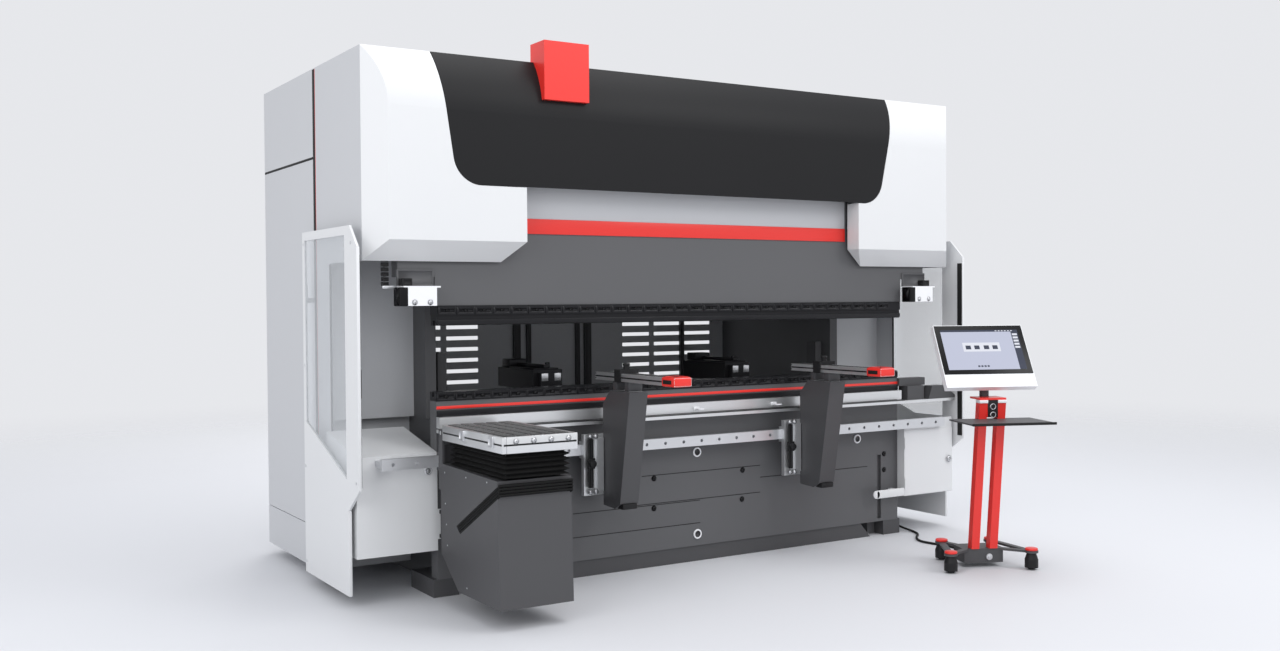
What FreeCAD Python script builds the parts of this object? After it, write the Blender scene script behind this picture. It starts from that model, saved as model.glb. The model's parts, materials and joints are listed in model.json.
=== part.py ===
import FreeCAD, Part
import math
import os
import re

import Sketcher

# A hydraulic press brake for sheet metal with a bending length of 3.1 m.
# Frame of the model, in millimetres: X runs along the bending line with 0 at its
# middle, Y runs from front to back with 0 at the bending line, Z is up from the floor.

SIZES = {
    # whole machine
    "half_width": 1938,
    "body_height": 2705,
    "body_rear": 1609,
    "bend_length": 3100,
    "sheet": 4,
    "slide_gap": 0.3,
    # welded frame
    "frame_inner": 1370,
    "frame_plate": 60,
    "frame_front": 60,
    "throat_back": 410,
    "throat_low": 857,
    "throat_high": 1740,
    "tie_depth": 160,
    "tie_height": 180,
    # lower beam, plinth and table
    "bed_front": 20,
    "plinth_height": 90,
    "plinth_half": 1329,
    "plinth_slant": 80,
    "foot_outer": 1571,
    "foot_inner": 1434,
    "foot_depth": 300,
    "table_height": 1026,
    "table_rail_height": 46,
    "tool_slot": 24,
    "tool_slot_depth": 26,
    "bed_slot_x": 1380,
    "bed_slot_width": 32,
    "bed_slot_low": 108,
    "bed_slot_high": 505,
    "plate_low": 848,
    "plate_height": 55,
    "plate_out": 60,
    "ledge_low": 824,
    "ledge_height": 17,
    "ledge_out": 100,
    "ledge_end": 1980,
    # front rail for the supports
    "rail_front": 124,
    "rail_depth": 30,
    "rail_middle": 696,
    "rail_height": 56,
    "rail_left": 1873,
    "rail_right": 1860,
    "rail_pitch": 120,
    "rail_hole": 9,
    "rail_first_hole": 1818,
    "rail_holes": 31,
    "spacer_height": 32,
    # front covers and hood
    "cover_front": 162,
    "cover_bottom": 1676,
    "cover_inner": 1108,
    "cover_chamfer": 100,
    "arc_depth": 101,
    "arc_height": 290,
    "hood_bottom": 2053,
    "hood_top_left": 1583,
    "hood_top_right": 1413,
    "hood_low_left": 1483,
    "hood_low_right": 1268,
    "hood_corner": 150,
    "hood_gap": 3,
    "badge_left": 1015,
    "badge_width": 260,
    "badge_low": "body_height-205",
    "badge_height": 300,
    "badge_out": 22,
    "badge_back": 30,
    # side panels, cabinets, roof and rear wall
    "panel_back": 645,
    "panel_gap": 4,
    "panel_front_low": 424,
    "panel_bottom": 60,
    "throat_wall": 580,
    "cabinet_low_seam": 283,
    "cabinet_high_seam": 2238,
    "rear_panel_left": 305,
    "rear_panel_right": 226,
    "rear_sheet": 5,
    "rear_low": 110,
    "rear_door_edge": 1398,
    "rear_axis_out": 8,
    "rear_axis_y": 1613,
    "rear_knuckle": 7,
    "rear_pin": 3.5,
    "rear_hinge_low": 260,
    "rear_hinge_middle": 1300,
    "rear_hinge_high": 2340,
    "vent_width": 220,
    "vent_gap": 40,
    "vent_height": 24,
    "vent_pitch": 70.6,
    "vent_low": 735,
    "vent_rows": 12,
    "vent_columns": 3,
    "left_vent_margin": 275,
    "right_vent_margin": 288,
    # ram and hydraulics
    "ram_half": 40,
    "ram_bottom": 1458,
    "ram_low_end": 1560,
    "ram_ear_low": 1600,
    "ram_ear_end": 1753,
    "ram_shoulder": 1900,
    "ram_neck": 1120,
    "ram_top": 2290,
    "clamp_height": 100,
    "clamp_half": 1550,
    "clamp_step": 16,
    "cylinder_x": "frame_inner-120",
    "cylinder_outer": 115,
    "cylinder_bore": 95,
    "cylinder_low": 2150,
    "cylinder_length": 400,
    "flange_height": 40,
    "rod_radius": 70,
    "piston_top": 2500,
    "piston_height": 60,
    "running_fit": 0.05,
    "guide_width": 40,
    "guide_length": 340,
    # safety light beam units on the ram
    "sensor_low": 1458,
    "sensor_height": 88,
    "sensor_front": 140,
    "sensor_depth": 70,
    "sensor_inner": 1590,
    "sensor_width": 150,
    "sensor_lens": 40,
    # back gauge
    "gauge_rail_low": 760,
    "gauge_rail_height": 40,
    "gauge_rail_width": 30,
    "gauge_rail_front": 80,
    "gauge_rail_length": 1420,
    "gauge_block_front": 460,
    "gauge_block_depth": 160,
    "gauge_block_inner": "frame_inner-80",
    "gauge_tower_top": 1200,
    "gauge_beam_low": 900,
    "gauge_beam_height": 85,
    "gauge_beam_depth": 90,
    "finger_width": 180,
    "finger_front": 330,
    "finger_length": 450,
    "finger_height": 110,
    "finger_tip": 40,
    "finger_tip_width": 130,
    "left_finger_x": 740,
    "right_finger_x": 560,
    # front supports
    "left_support_x": 612,
    "right_support_x": 716,
    "support_width": 110,
    "support_back": 150,
    "support_low": 403,
    "support_high": 1010,
    "carriage_left": 172,
    "carriage_low": 458,
    "carriage_top": 778,
    "carriage_lip": 16,
    "lip_depth": 24,
    "arm_width": 100,
    "arm_low": 1060,
    "arm_height": 40,
    "arm_back": 64,
    "arm_front": 825,
    "stop_y": 330,
    "stop_length": 60,
    "stop_height": 25,
    # sheet follower
    "follower_left": 1584,
    "follower_width": 372,
    "follower_front": 810,
    "follower_bottom": 99,
    "follower_plate": 690,
    "follower_wall": 8,
    "bed_lift_low": 806,
    "bed_lift_height": 62,
    "bed_lift_front": 848,
    "deck_rail": 26,
    "deck_plate": 14,
    "hinge_height": 838,
    "hinge_pin": 10,
    "ear_width": 12,
    # side guards
    "guard_outer": "half_width+60",
    "guard_thickness": 12,
    "guard_back": 692,
    "guard_front": 5,
    "guard_low": 60,
    "guard_high": 1844,
    "guard_flange": 155,
    "guard_flange_low": 585,
    "guard_flange_high": 1741,
    "pane_thickness": 5,
    "guard_axis_x": "half_width+42",
    "guard_axis_y": 704,
    "knuckle_radius": 12,
    "pin_radius": 6,
    "knuckle_length": 70,
    "guard_hinge_low": 400,
    "guard_hinge_high": 1500,
    # storage boxes
    "box_outer": "half_width+28",
    "box_bottom": 240,
    "left_box_front": 30,
    "left_box_top": 729,
    "box_inner": 1552,
    "box_back": 423,
    "box_slope": 0.2,
    "right_box_front": 80,
    "right_box_top": 718,
    "box_door_top": "rail_middle-46",
    "door_margin": 24,
    "box_axis_x": 1550,
    "box_knuckle": 7,
    "box_knuckle_length": 50,
    "box_bracket": 14,
    "box_hinge_low": 300,
    "box_hinge_high": "box_door_top-100",
    # operator stand, in its own turned frame
    "stand_x": 1264.5,
    "stand_y": -954.8,
    "stand_turn": -23,
    "stand_plate_low": 92,
    "stand_plate": 12,
    "stand_box_half": 116,
    "stand_box_depth": 75,
    "stand_box_low": 25,
    "leg_front_x": 231,
    "leg_front_y": 171,
    "leg_back_x": 145,
    "leg_back_y": 162,
    "leg_width": 34,
    "leg_disc": 36,
    "upright_inner": 30,
    "upright_width": 45,
    "upright_depth": 50,
    "upright_foot": 60,
    "upright_lean": 110,
    "upright_top": 930,
    "shelf_half": 230,
    "shelf_top": 826,
    "shelf_sheet": 8,
    "shelf_back": 150,
    "shelf_front": 455,
    "neck_y": 80,
    "neck_radius": 25,
    "neck_height": 60,
    "tilt_y": 46,
    "tilt_z": 1118,
    "tilt_pin": 8,
    "monitor_half": 258,
    "monitor_height": 385,
    "monitor_depth": 40,
    "monitor_back": 60,
    "monitor_tilt": 31.7,
    "monitor_above": 208,
    "button_radius": 11,
    "button_out": 6,
    "button_depth": 14,
    "button_low": 849,
    "button_high": 893,
    "caster_wheel": 24,
    "caster_width": 28,
    "caster_axle": 4,
    "caster_hood": 36,
    "caster_neck": 24,
    "caster_cavity": 31,
    "caster_skirt": 12,
    # cable from the machine to the stand
    "cable_radius": 7,
    "gland_length": 40,
    "gland_radius": 14,
}

doc = FreeCAD.newDocument("PressBrake")
sheet = doc.addObject("Spreadsheet::Sheet", "Dims")
for row, (alias, size) in enumerate(SIZES.items(), start=1):
    sheet.set("A%d" % row, alias)
    sheet.setAlias("B%d" % row, alias)
    sheet.set("B%d" % row, "=%s" % size)
doc.recompute()

nodes = []


def bound(expression):
    """The expression with each size name pointing at its cell."""
    def cell(match):
        word = match.group(0)
        return "Dims." + word if word in SIZES else word
    return re.sub(r"[a-z][a-z_]+", cell, expression)


def number(expression):
    """The present value of an expression in size names."""
    return float(sheet.evalExpression(bound(expression)))


def bind(item, **settings):
    for name, expression in settings.items():
        item.setExpression(name.replace("__", "."), bound(expression))
    return item


def put(item, x, y, z):
    return bind(item, Placement__Base__x=x, Placement__Base__y=y, Placement__Base__z=z)


def box(name, x, y, z, length, width, height):
    """A block from its lowest corner and its three sizes."""
    item = doc.addObject("Part::Box", name)
    bind(item, Length=length, Width=width, Height=height)
    return put(item, x, y, z)


TURNS = {
    "x": FreeCAD.Rotation(FreeCAD.Vector(0, 1, 0), 90),
    "y": FreeCAD.Rotation(FreeCAD.Vector(1, 0, 0), -90),
    "z": FreeCAD.Rotation(),
}


def rod(name, x, y, z, radius, length, along="z"):
    """A round bar from the centre of its first end."""
    item = doc.addObject("Part::Cylinder", name)
    item.Placement = FreeCAD.Placement(FreeCAD.Vector(), TURNS[along])
    bind(item, Radius=radius, Height=length)
    return put(item, x, y, z)


def cone(name, x, y, z, low_radius, high_radius, height):
    item = doc.addObject("Part::Cone", name)
    bind(item, Radius1=low_radius, Radius2=high_radius, Height=height)
    return put(item, x, y, z)


def joined(name, pieces):
    item = doc.addObject("Part::MultiFuse", name)
    item.Shapes = pieces
    return item


def group(name, pieces):
    """Separate solids kept in one sub-part."""
    item = doc.addObject("Part::Compound", name)
    item.Links = pieces
    return item


def less(name, base, tools):
    item = doc.addObject("Part::Cut", name)
    item.Base = base
    item.Tool = tools[0] if len(tools) == 1 else group(name + "_tools", tools)
    return item


def node(item, label, placement=None):
    """Marks an object as a sub-part of its own."""
    item.Label = label
    if placement is not None:
        item.Placement = placement
    nodes.append(item)
    return item


def padded(name, plane, points, length, shift="0", reverse=False):
    """A PartDesign body: a closed outline of bound corners on an origin plane, padded."""
    body = doc.addObject("PartDesign::Body", name)
    origin = [f for f in body.Origin.OriginFeatures if f.Role == plane + "_Plane"][0]
    outline = body.newObject("Sketcher::SketchObject", name + "_outline")
    outline.AttachmentSupport = [(origin, "")]
    outline.MapMode = "FlatFace"
    corners = [FreeCAD.Vector(number(a), number(b), 0) for a, b in points]
    count = len(corners)
    for i in range(count):
        outline.addGeometry(Part.LineSegment(corners[i], corners[(i + 1) % count]), False)
    for i in range(count):
        outline.addConstraint(Sketcher.Constraint("Coincident", i, 2, (i + 1) % count, 1))
    for i, (a, b) in enumerate(points):
        for kind, expression, value in (("DistanceX", a, corners[i].x), ("DistanceY", b, corners[i].y)):
            index = outline.addConstraint(Sketcher.Constraint(kind, -1, 1, i, 1, value))
            title = "%s_%d" % (kind[-1], i)
            outline.renameConstraint(index, title)
            outline.setExpression("Constraints." + title, bound(expression))
    pad = body.newObject("PartDesign::Pad", name + "_pad")
    pad.Profile = outline
    bind(pad, Length=length)
    pad.Reversed = reverse
    body.Tip = pad
    axis = {"YZ": "x", "XZ": "y", "XY": "z"}[plane]
    body.setExpression("Placement.Base." + axis, bound(shift))
    return body


def sided(side, inner, width):
    """The lowest X of a piece that starts at inner, on the left or on the right."""
    return inner if side > 0 else "-(%s)-(%s)" % (inner, width)


SIDES = ((-1, "left"), (1, "right"))
REAR_HINGES = ("rear_hinge_low", "rear_hinge_middle", "rear_hinge_high")


# ---------------------------------------------------------------- welded frame
def machine_frame():
    pieces = []
    top = "body_height-sheet"
    back = "body_rear-rear_sheet"
    for side, name in SIDES:
        x = sided(side, "frame_inner", "frame_plate")
        plate = box(name + "_plate", x, "frame_front", "0", "frame_plate", back + "-frame_front", top)
        throat = box(name + "_throat", x, "frame_front", "throat_low", "frame_plate",
                     "throat_back-frame_front", "throat_high-throat_low")
        pieces.append(less(name + "_c_plate", plate, [throat]))
        axis = "rear_door_edge+rear_axis_out" if side > 0 else "-rear_door_edge-rear_axis_out"
        for i, low in enumerate(REAR_HINGES):
            label = "%s_rear_bracket_%d" % (name, i + 1)
            pieces.append(box(label, sided(side, "rear_door_edge+4", "14"), back, low + "-20", "14",
                              "rear_axis_y+rear_pin+0.5-(%s)" % back, "20"))
            pieces.append(rod(label + "_pin", axis, "rear_axis_y", low + "-10", "rear_pin",
                              "knuckle_length+20"))
    for name, low in (("low_tie", "plinth_height"), ("high_tie", "body_height-sheet-2*tie_height")):
        pieces.append(box(name, "-frame_inner", back + "-tie_depth", low,
                          "2*frame_inner", "tie_depth", "tie_height"))
    node(joined("FrameWeldment", pieces), "machine_frame")


def bed_beam():
    beam = box("bed_block", "-bend_length/2", "-bed_front", "plinth_height", "bend_length",
               "bed_front+frame_front", "table_height-table_rail_height-plinth_height")
    slots = []
    for side, name in SIDES:
        slots.append(box(name + "_bed_slot", sided(side, "bed_slot_x", "bed_slot_width"), "-bed_front",
                         "bed_slot_low", "bed_slot_width", "bed_front", "bed_slot_high-bed_slot_low"))
    node(less("Bed", beam, slots), "bed_beam")


def base_plinth():
    bar = padded("plinth_bar", "XZ", [
        ("-plinth_half+plinth_slant", "plinth_height"), ("-plinth_half", "0"),
        ("plinth_half", "0"), ("plinth_half-plinth_slant", "plinth_height")],
        "frame_front+bed_front/2", "frame_front")
    pieces = [bar]
    for side, name in SIDES:
        pieces.append(box(name + "_foot", sided(side, "foot_inner", "foot_outer-foot_inner"),
                          "-bed_front+sheet", "0", "foot_outer-foot_inner", "foot_depth", "plinth_height"))
    node(group("Plinth", pieces), "base_plinth")


def table():
    rail = box("table_block", "-bend_length/2", "-bed_front", "table_height-table_rail_height",
               "bend_length", "bed_front+frame_front", "table_rail_height")
    slot = box("table_slot", "-bend_length/2", "bed_front-tool_slot/2", "table_height-tool_slot_depth",
               "bend_length", "tool_slot", "tool_slot_depth")
    node(less("Table", rail, [slot]), "table_rail")
    plate = box("front_plate", "-bend_length/2", "-plate_out", "plate_low", "bend_length",
                "plate_out-bed_front", "plate_height")
    ledge = box("front_ledge", "-bend_length/2", "-ledge_out", "ledge_low", "bend_length/2+ledge_end",
                "ledge_out-bed_front", "ledge_height")
    node(group("TablePlates", [plate, ledge]), "table_front_plates")


def support_rail():
    low = "rail_middle-rail_height/2"
    bar = box("rail_bar", "-rail_left", "-rail_front", low, "rail_left+rail_right", "rail_depth", "rail_height")
    holes = []
    for i in range(int(number("rail_holes"))):
        holes.append(rod("rail_hole_%d" % (i + 1), "-rail_first_hole+%d*rail_pitch" % i, "-rail_front",
                         "rail_middle", "rail_hole", "rail_depth", "y"))
    pieces = [less("drilled_rail", bar, holes)]
    low = "rail_middle-spacer_height/2"
    back = "rail_depth-rail_front"
    pieces.append(box("rail_spacer", "-bend_length/2", back, low, "bend_length",
                      "rail_front-rail_depth-bed_front", "spacer_height"))
    pieces.append(box("left_rail_block", "-rail_left", back, low, "tie_depth/2",
                      "rail_front-rail_depth-left_box_front", "spacer_height"))
    pieces.append(box("right_rail_block", "rail_right-tie_depth/2", back, low, "tie_depth/2",
                      "rail_front-rail_depth-right_box_front", "spacer_height"))
    node(group("Rail", pieces), "support_rail")


# ---------------------------------------------------------------- covers
def front_profile(inset, back, low):
    """The side outline of the front covers, moved inwards by inset: chamfer, face and arc."""
    depth = number("arc_depth")
    height = number("arc_height")
    radius = (depth ** 2 + height ** 2) / (2 * depth)
    front = -number("cover_front")
    top = number("body_height") - inset
    centre_y = front + radius
    centre_z = number("body_height-arc_height")
    inner = radius - inset

    def on_arc(z):
        return FreeCAD.Vector(0, centre_y - math.sqrt(inner ** 2 - (z - centre_z) ** 2), z)

    chamfer = number("cover_chamfer") - inset * (math.sqrt(2) - 1)
    corners = [
        FreeCAD.Vector(0, back, low + inset),
        FreeCAD.Vector(0, front + inset + chamfer, low + inset),
        FreeCAD.Vector(0, front + inset, low + inset + chamfer),
        FreeCAD.Vector(0, front + inset, centre_z)]
    end = on_arc(top)
    edges = [Part.LineSegment(corners[i], corners[i + 1]).toShape() for i in range(3)]
    edges.append(Part.Arc(corners[3], on_arc((centre_z + top) / 2), end).toShape())
    last = FreeCAD.Vector(0, back, top)
    if end.distanceToPoint(last) > 0.001:
        edges.append(Part.LineSegment(end, last).toShape())
    edges.append(Part.LineSegment(last, corners[0]).toShape())
    return Part.Face(Part.Wire(edges))


def swept(face, start, end):
    """A face in a YZ plane stretched from one X to another."""
    moved = face.translated(FreeCAD.Vector(start, 0, 0))
    return moved.extrude(FreeCAD.Vector(end - start, 0, 0))


def flat_prism(points, start, depth):
    """A closed XZ outline, stretched along Y."""
    corners = [FreeCAD.Vector(x, start, z) for x, z in points]
    return Part.Face(Part.makePolygon(corners + corners[:1])).extrude(FreeCAD.Vector(0, depth, 0))


def plan_prism(points, low, height):
    """A closed XY outline, stretched along Z."""
    corners = [FreeCAD.Vector(x, y, low) for x, y in points]
    return Part.Face(Part.makePolygon(corners + corners[:1])).extrude(FreeCAD.Vector(0, 0, height))


def hood_outline(margin):
    """The front view of the hood as a block: slanted ends and two round lower corners."""
    top = number("body_height") + 10
    low = number("hood_bottom") - margin
    left_top = -number("hood_top_left") - margin
    left_low = -number("hood_low_left") - margin
    right_top = number("hood_top_right") + margin
    right_low = number("hood_low_right") + margin
    start = -number("cover_front") - 50
    block = flat_prism([(left_top, top), (left_low, low), (right_low, low), (right_top, top)], start, 200)
    rounded = [edge for edge in block.Edges
               if abs(edge.Vertexes[0].Z - low) < 0.01 and abs(edge.Vertexes[-1].Z - low) < 0.01
               and abs(edge.Vertexes[0].X - edge.Vertexes[-1].X) < 0.01]
    return block.makeFillet(number("hood_corner") + margin, rounded)


def solid_feature(name, label, shape):
    item = doc.addObject("Part::Feature", name)
    item.Shape = shape
    return node(item, label)


def cover_block(side, inset, back):
    """One front cover as a block: chamfers at its outer corner and its inner lower corner."""
    inner = number("cover_inner") + inset
    outer = number("half_width") - inset
    low = number("cover_bottom") + inset
    front = -number("cover_front") + inset
    chamfer = number("cover_chamfer") - inset * (math.sqrt(2) - 1)
    block = swept(front_profile(inset, back, number("cover_bottom")), min(side * inner, side * outer),
                  max(side * inner, side * outer))
    corner = plan_prism([(side * outer, front - 1), (side * (outer - chamfer - 1), front - 1),
                         (side * outer, front + chamfer), (side * (outer + 1), front + chamfer + 1),
                         (side * (outer + 1), front - 1)], low - 1, number("body_height"))
    corner_low = flat_prism([(side * (inner - 1), low - 1), (side * (inner + chamfer + 1), low - 1),
                             (side * (inner - 1), low + chamfer + 1)], front - 1, back - front + 2)
    return block.cut(corner).cut(corner_low)


def covers():
    wall = number("sheet")
    back = number("arc_depth-cover_front")
    outline = hood_outline(0)
    skin = swept(front_profile(0, back, number("cover_bottom")), -number("half_width"), number("half_width"))
    skin = skin.cut(swept(front_profile(wall, back + wall, number("cover_bottom")),
                          -number("half_width"), number("half_width")))
    hood = skin.common(outline)
    solid_feature("Hood", "hood_panel", hood)
    outline = hood_outline(number("hood_gap"))
    pair = []
    for side, name in SIDES:
        shell = cover_block(side, 0, back).cut(cover_block(side, wall, back + wall))
        pair.append(shell.cut(outline))
    solid_feature("Covers", "front_covers", Part.makeCompound(pair))


def badge_box():
    left = -number("badge_left")
    front = -number("cover_front+badge_out")
    block = Part.makeBox(number("badge_width"), -number("badge_back") - front, number("badge_height"),
                         FreeCAD.Vector(left, front, number("badge_low")))
    behind = swept(front_profile(-number("slide_gap"), 0, number("cover_bottom")), left - 10,
                   left + number("badge_width") + 10)
    solid_feature("Badge", "badge_box", block.cut(behind))


def side_panels():
    pieces = []
    front = "arc_depth-cover_front"
    for side, name in SIDES:
        x = sided(side, "half_width-sheet", "sheet")
        whole = box(name + "_panel_sheet", x, front, "panel_bottom", "sheet", "panel_back-(%s)" % front,
                    "body_height-panel_bottom")
        window = box(name + "_panel_window", x, front, "panel_bottom", "sheet",
                     "panel_front_low-(%s)" % front, "cover_bottom-panel_bottom")
        pieces.append(less(name + "_side_panel", whole, [window]))
        inner = sided(side, "frame_inner+frame_plate", "half_width-sheet-frame_inner-frame_plate")
        pieces.append(box(name + "_throat_panel", inner, "throat_wall", "throat_low",
                          "half_width-sheet-frame_inner-frame_plate", "sheet", "throat_high-throat_low+sheet"))
    node(group("SidePanels", pieces), "side_panels")


def rear_cabinets():
    inner = "frame_inner+frame_plate"
    width = "half_width-frame_inner-frame_plate"
    front = "panel_back+panel_gap"
    depth = "body_rear-panel_back-panel_gap"
    sections = (("low", "panel_bottom", "cabinet_low_seam-panel_gap/2-panel_bottom"),
                ("middle", "cabinet_low_seam+panel_gap/2", "cabinet_high_seam-cabinet_low_seam-panel_gap"),
                ("top", "cabinet_high_seam+panel_gap/2", "body_height-cabinet_high_seam-panel_gap/2"))
    pieces = []
    for side, name in SIDES:
        for title, low, height in sections:
            label = "%s_%s_cabinet" % (name, title)
            outer = box(label + "_block", sided(side, inner, width), front, low, width, depth, height)
            hollow = box(label + "_hollow", sided(side, inner, width + "-sheet"), front + "+sheet",
                         low + "+sheet", width + "-sheet", depth + "-2*sheet", "%s-2*sheet" % height)
            shell = less(label, outer, [hollow])
            if title == "middle":
                shell = joined(label + "_hinged", [shell] + hinge_brackets(side, name))
            pieces.append(shell)
    node(group("Cabinets", pieces), "rear_cabinets")


def hinge_brackets(side, name):
    """Welded brackets with upright pins that the side guards turn on."""
    pieces = []
    reach = "guard_axis_x-half_width+knuckle_radius/2"
    for title in ("guard_hinge_low", "guard_hinge_high"):
        label = "%s_%s" % (name, title)
        pieces.append(box(label + "_bracket", sided(side, "half_width", reach), "guard_axis_y-knuckle_radius",
                          title + "-2*knuckle_radius", reach, "2*knuckle_radius", "2*knuckle_radius"))
        axis = "guard_axis_x" if side > 0 else "-guard_axis_x"
        pieces.append(rod(label + "_pin", axis, "guard_axis_y", title + "-knuckle_radius", "pin_radius",
                          "knuckle_length+2*knuckle_radius"))
    return pieces


def roof_and_rear_wall():
    front = "arc_depth-cover_front"
    roof_low = "body_height-sheet"
    wide = box("roof_front", "-half_width+sheet", front, roof_low, "2*(half_width-sheet)",
               "panel_back-(%s)" % front, "sheet")
    narrow = box("roof_rear", "-frame_inner-frame_plate", "panel_back", roof_low,
                 "2*(frame_inner+frame_plate)", "body_rear-panel_back", "sheet")
    roof = joined("roof_sheet", [wide, narrow])
    rear = "body_rear-rear_sheet"
    height = "body_height-sheet-rear_low-panel_gap"
    panel = box("centre_sheet", "-rear_panel_left", rear, "rear_low", "rear_panel_left+rear_panel_right",
                "rear_sheet", height)
    node(group("OuterPanels", [roof, panel]), "roof_and_rear_panels")
    for side, name in SIDES:
        edge = "rear_panel_left+panel_gap" if side < 0 else "rear_panel_right+panel_gap"
        width = "rear_door_edge-(%s)" % edge
        door = box(name + "_rear_sheet", sided(side, edge, width), rear + "+slide_gap", "rear_low", width,
                   "rear_sheet-slide_gap", height)
        vents = []
        margin = "left_vent_margin" if side < 0 else "right_vent_margin"
        for column in range(int(number("vent_columns"))):
            start = "%s+%s-panel_gap+%d*(vent_width+vent_gap)" % (edge, margin, column)
            for line in range(int(number("vent_rows"))):
                vents.append(box("%s_vent_%d_%d" % (name, column, line), sided(side, start, "vent_width"), rear,
                                 "vent_low+%d*vent_pitch" % line, "vent_width", "2*rear_sheet", "vent_height"))
        pieces = [less(name + "_vented_sheet", door, vents)]
        bores = []
        axis = "rear_door_edge+rear_axis_out" if side > 0 else "-rear_door_edge-rear_axis_out"
        for i, low in enumerate(REAR_HINGES):
            label = "%s_rear_hinge_%d" % (name, i + 1)
            pieces.append(rod(label + "_knuckle", axis, "rear_axis_y", low + "+slide_gap", "rear_knuckle",
                              "knuckle_length"))
            pieces.append(box(label + "_leaf", sided(side, "rear_door_edge-20", "20+rear_axis_out"),
                              "body_rear-2", low + "+slide_gap", "20+rear_axis_out", "5", "knuckle_length"))
            bores.append(rod(label + "_bore", axis, "rear_axis_y", low, "rear_pin+running_fit",
                             "knuckle_length+10"))
        node(less(name + "_hinged_door", joined(name + "_door_parts", pieces), bores), name + "_rear_door")


# ---------------------------------------------------------------- ram, hydraulics and guides
def ram():
    right = [("ram_low_end", "ram_bottom"), ("ram_low_end", "ram_ear_low"), ("ram_ear_end", "ram_ear_low"),
             ("ram_ear_end", "ram_shoulder"), ("ram_neck", "ram_shoulder"), ("ram_neck", "ram_top")]
    left = [("-" + x, z) for x, z in reversed(right)]
    node(padded("Ram", "XZ", right + left, "2*ram_half", "ram_half"), "ram_beam")
    low = "ram_bottom-clamp_height"
    upper = box("clamp_upper", "-clamp_half", "-ram_half-clamp_step/2", "ram_bottom-clamp_height/2",
                "2*clamp_half", "2*ram_half+clamp_step", "clamp_height/2")
    lower = box("clamp_lower", "-clamp_half", "-ram_half", low, "2*clamp_half", "2*ram_half", "clamp_height/2")
    groove = box("clamp_groove", "-clamp_half", "-tool_slot/2", low, "2*clamp_half", "tool_slot",
                 "tool_slot_depth")
    node(less("Clamp", joined("clamp_blocks", [upper, lower]), [groove]), "upper_clamp")
    rods = []
    bodies = []
    for side, name in SIDES:
        x = "cylinder_x" if side > 0 else "-cylinder_x"
        shaft = rod(name + "_rod_shaft", x, "0", "ram_shoulder", "rod_radius",
                    "piston_top-ram_shoulder")
        head = rod(name + "_piston", x, "0", "piston_top-piston_height", "cylinder_bore-running_fit",
                   "piston_height")
        rods.append(joined(name + "_piston_rod", [shaft, head]))
        barrel = rod(name + "_barrel", x, "0", "cylinder_low", "cylinder_outer", "cylinder_length")
        inner = "frame_inner-2*(frame_inner-cylinder_x)"
        flange = box(name + "_flange", sided(side, inner, "2*(frame_inner-cylinder_x)"), "-cylinder_outer",
                     "cylinder_low", "2*(frame_inner-cylinder_x)", "2*cylinder_outer", "flange_height")
        bore = rod(name + "_bore", x, "0", "cylinder_low+flange_height", "cylinder_bore",
                   "cylinder_length-2*flange_height")
        gland = rod(name + "_rod_hole", x, "0", "cylinder_low", "rod_radius+running_fit", "flange_height")
        bodies.append(less(name + "_cylinder", joined(name + "_cylinder_block", [barrel, flange]), [bore, gland]))
    node(group("Rods", rods), "piston_rods")
    node(group("Cylinders", bodies), "hydraulic_cylinders")


def linear_guides():
    pieces = []
    for side, name in SIDES:
        inner = "frame_inner+(frame_plate-guide_width)/2"
        pieces.append(box(name + "_ram_guide", sided(side, inner, "guide_width"), "ram_half+slide_gap",
                          "throat_high", "guide_width", "frame_front-ram_half-slide_gap", "guide_length"))
        inner = "frame_inner-gauge_rail_width"
        pieces.append(box(name + "_gauge_rail", sided(side, inner, "gauge_rail_width"), "gauge_rail_front",
                          "gauge_rail_low", "gauge_rail_width", "gauge_rail_length", "gauge_rail_height"))
    node(group("Guides", pieces), "linear_guides")


def safety_sensors():
    """A laser sender and its receiver on brackets at the two ends of the ram."""
    pieces = []
    for side, name in SIDES:
        width = "sensor_width"
        case = box(name + "_sensor_case", sided(side, "sensor_inner", width), "-sensor_front", "sensor_low",
                   width, "sensor_depth", "sensor_height")
        lens_x = "sensor_inner+sensor_width" if side < 0 else "sensor_inner-sensor_lens"
        lens = box(name + "_sensor_lens", sided(side, lens_x, "sensor_lens"), "-sensor_front", "sensor_low",
                   "sensor_lens", "sensor_depth", "sensor_height")
        shelf_low = "sensor_low+sensor_height"
        shelf = box(name + "_sensor_shelf", sided(side, "sensor_inner-20", width + "+40"), "-sensor_front",
                    shelf_low, width + "+40", "sensor_front-ram_half", "8")
        rise = box(name + "_sensor_rise", sided(side, "sensor_inner-20", width + "+40"), "-ram_half-8",
                   shelf_low, width + "+40", "8", "90")
        pieces.append(joined(name + "_sensor", [case, lens, shelf, rise]))
    node(group("Sensors", pieces), "safety_sensors")


def power_pack():
    low = "body_height-sheet-tie_height"
    rear = "body_rear-rear_sheet-tie_depth-100"
    tank = box("oil_tank", "-450", rear, low, "900", "tie_depth+80", "tie_height-30")
    motor = rod("pump_motor", "450", rear + "+120", low + "+75", "70", "300", "x")
    node(joined("PowerPack", [tank, motor]), "power_pack")


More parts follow.
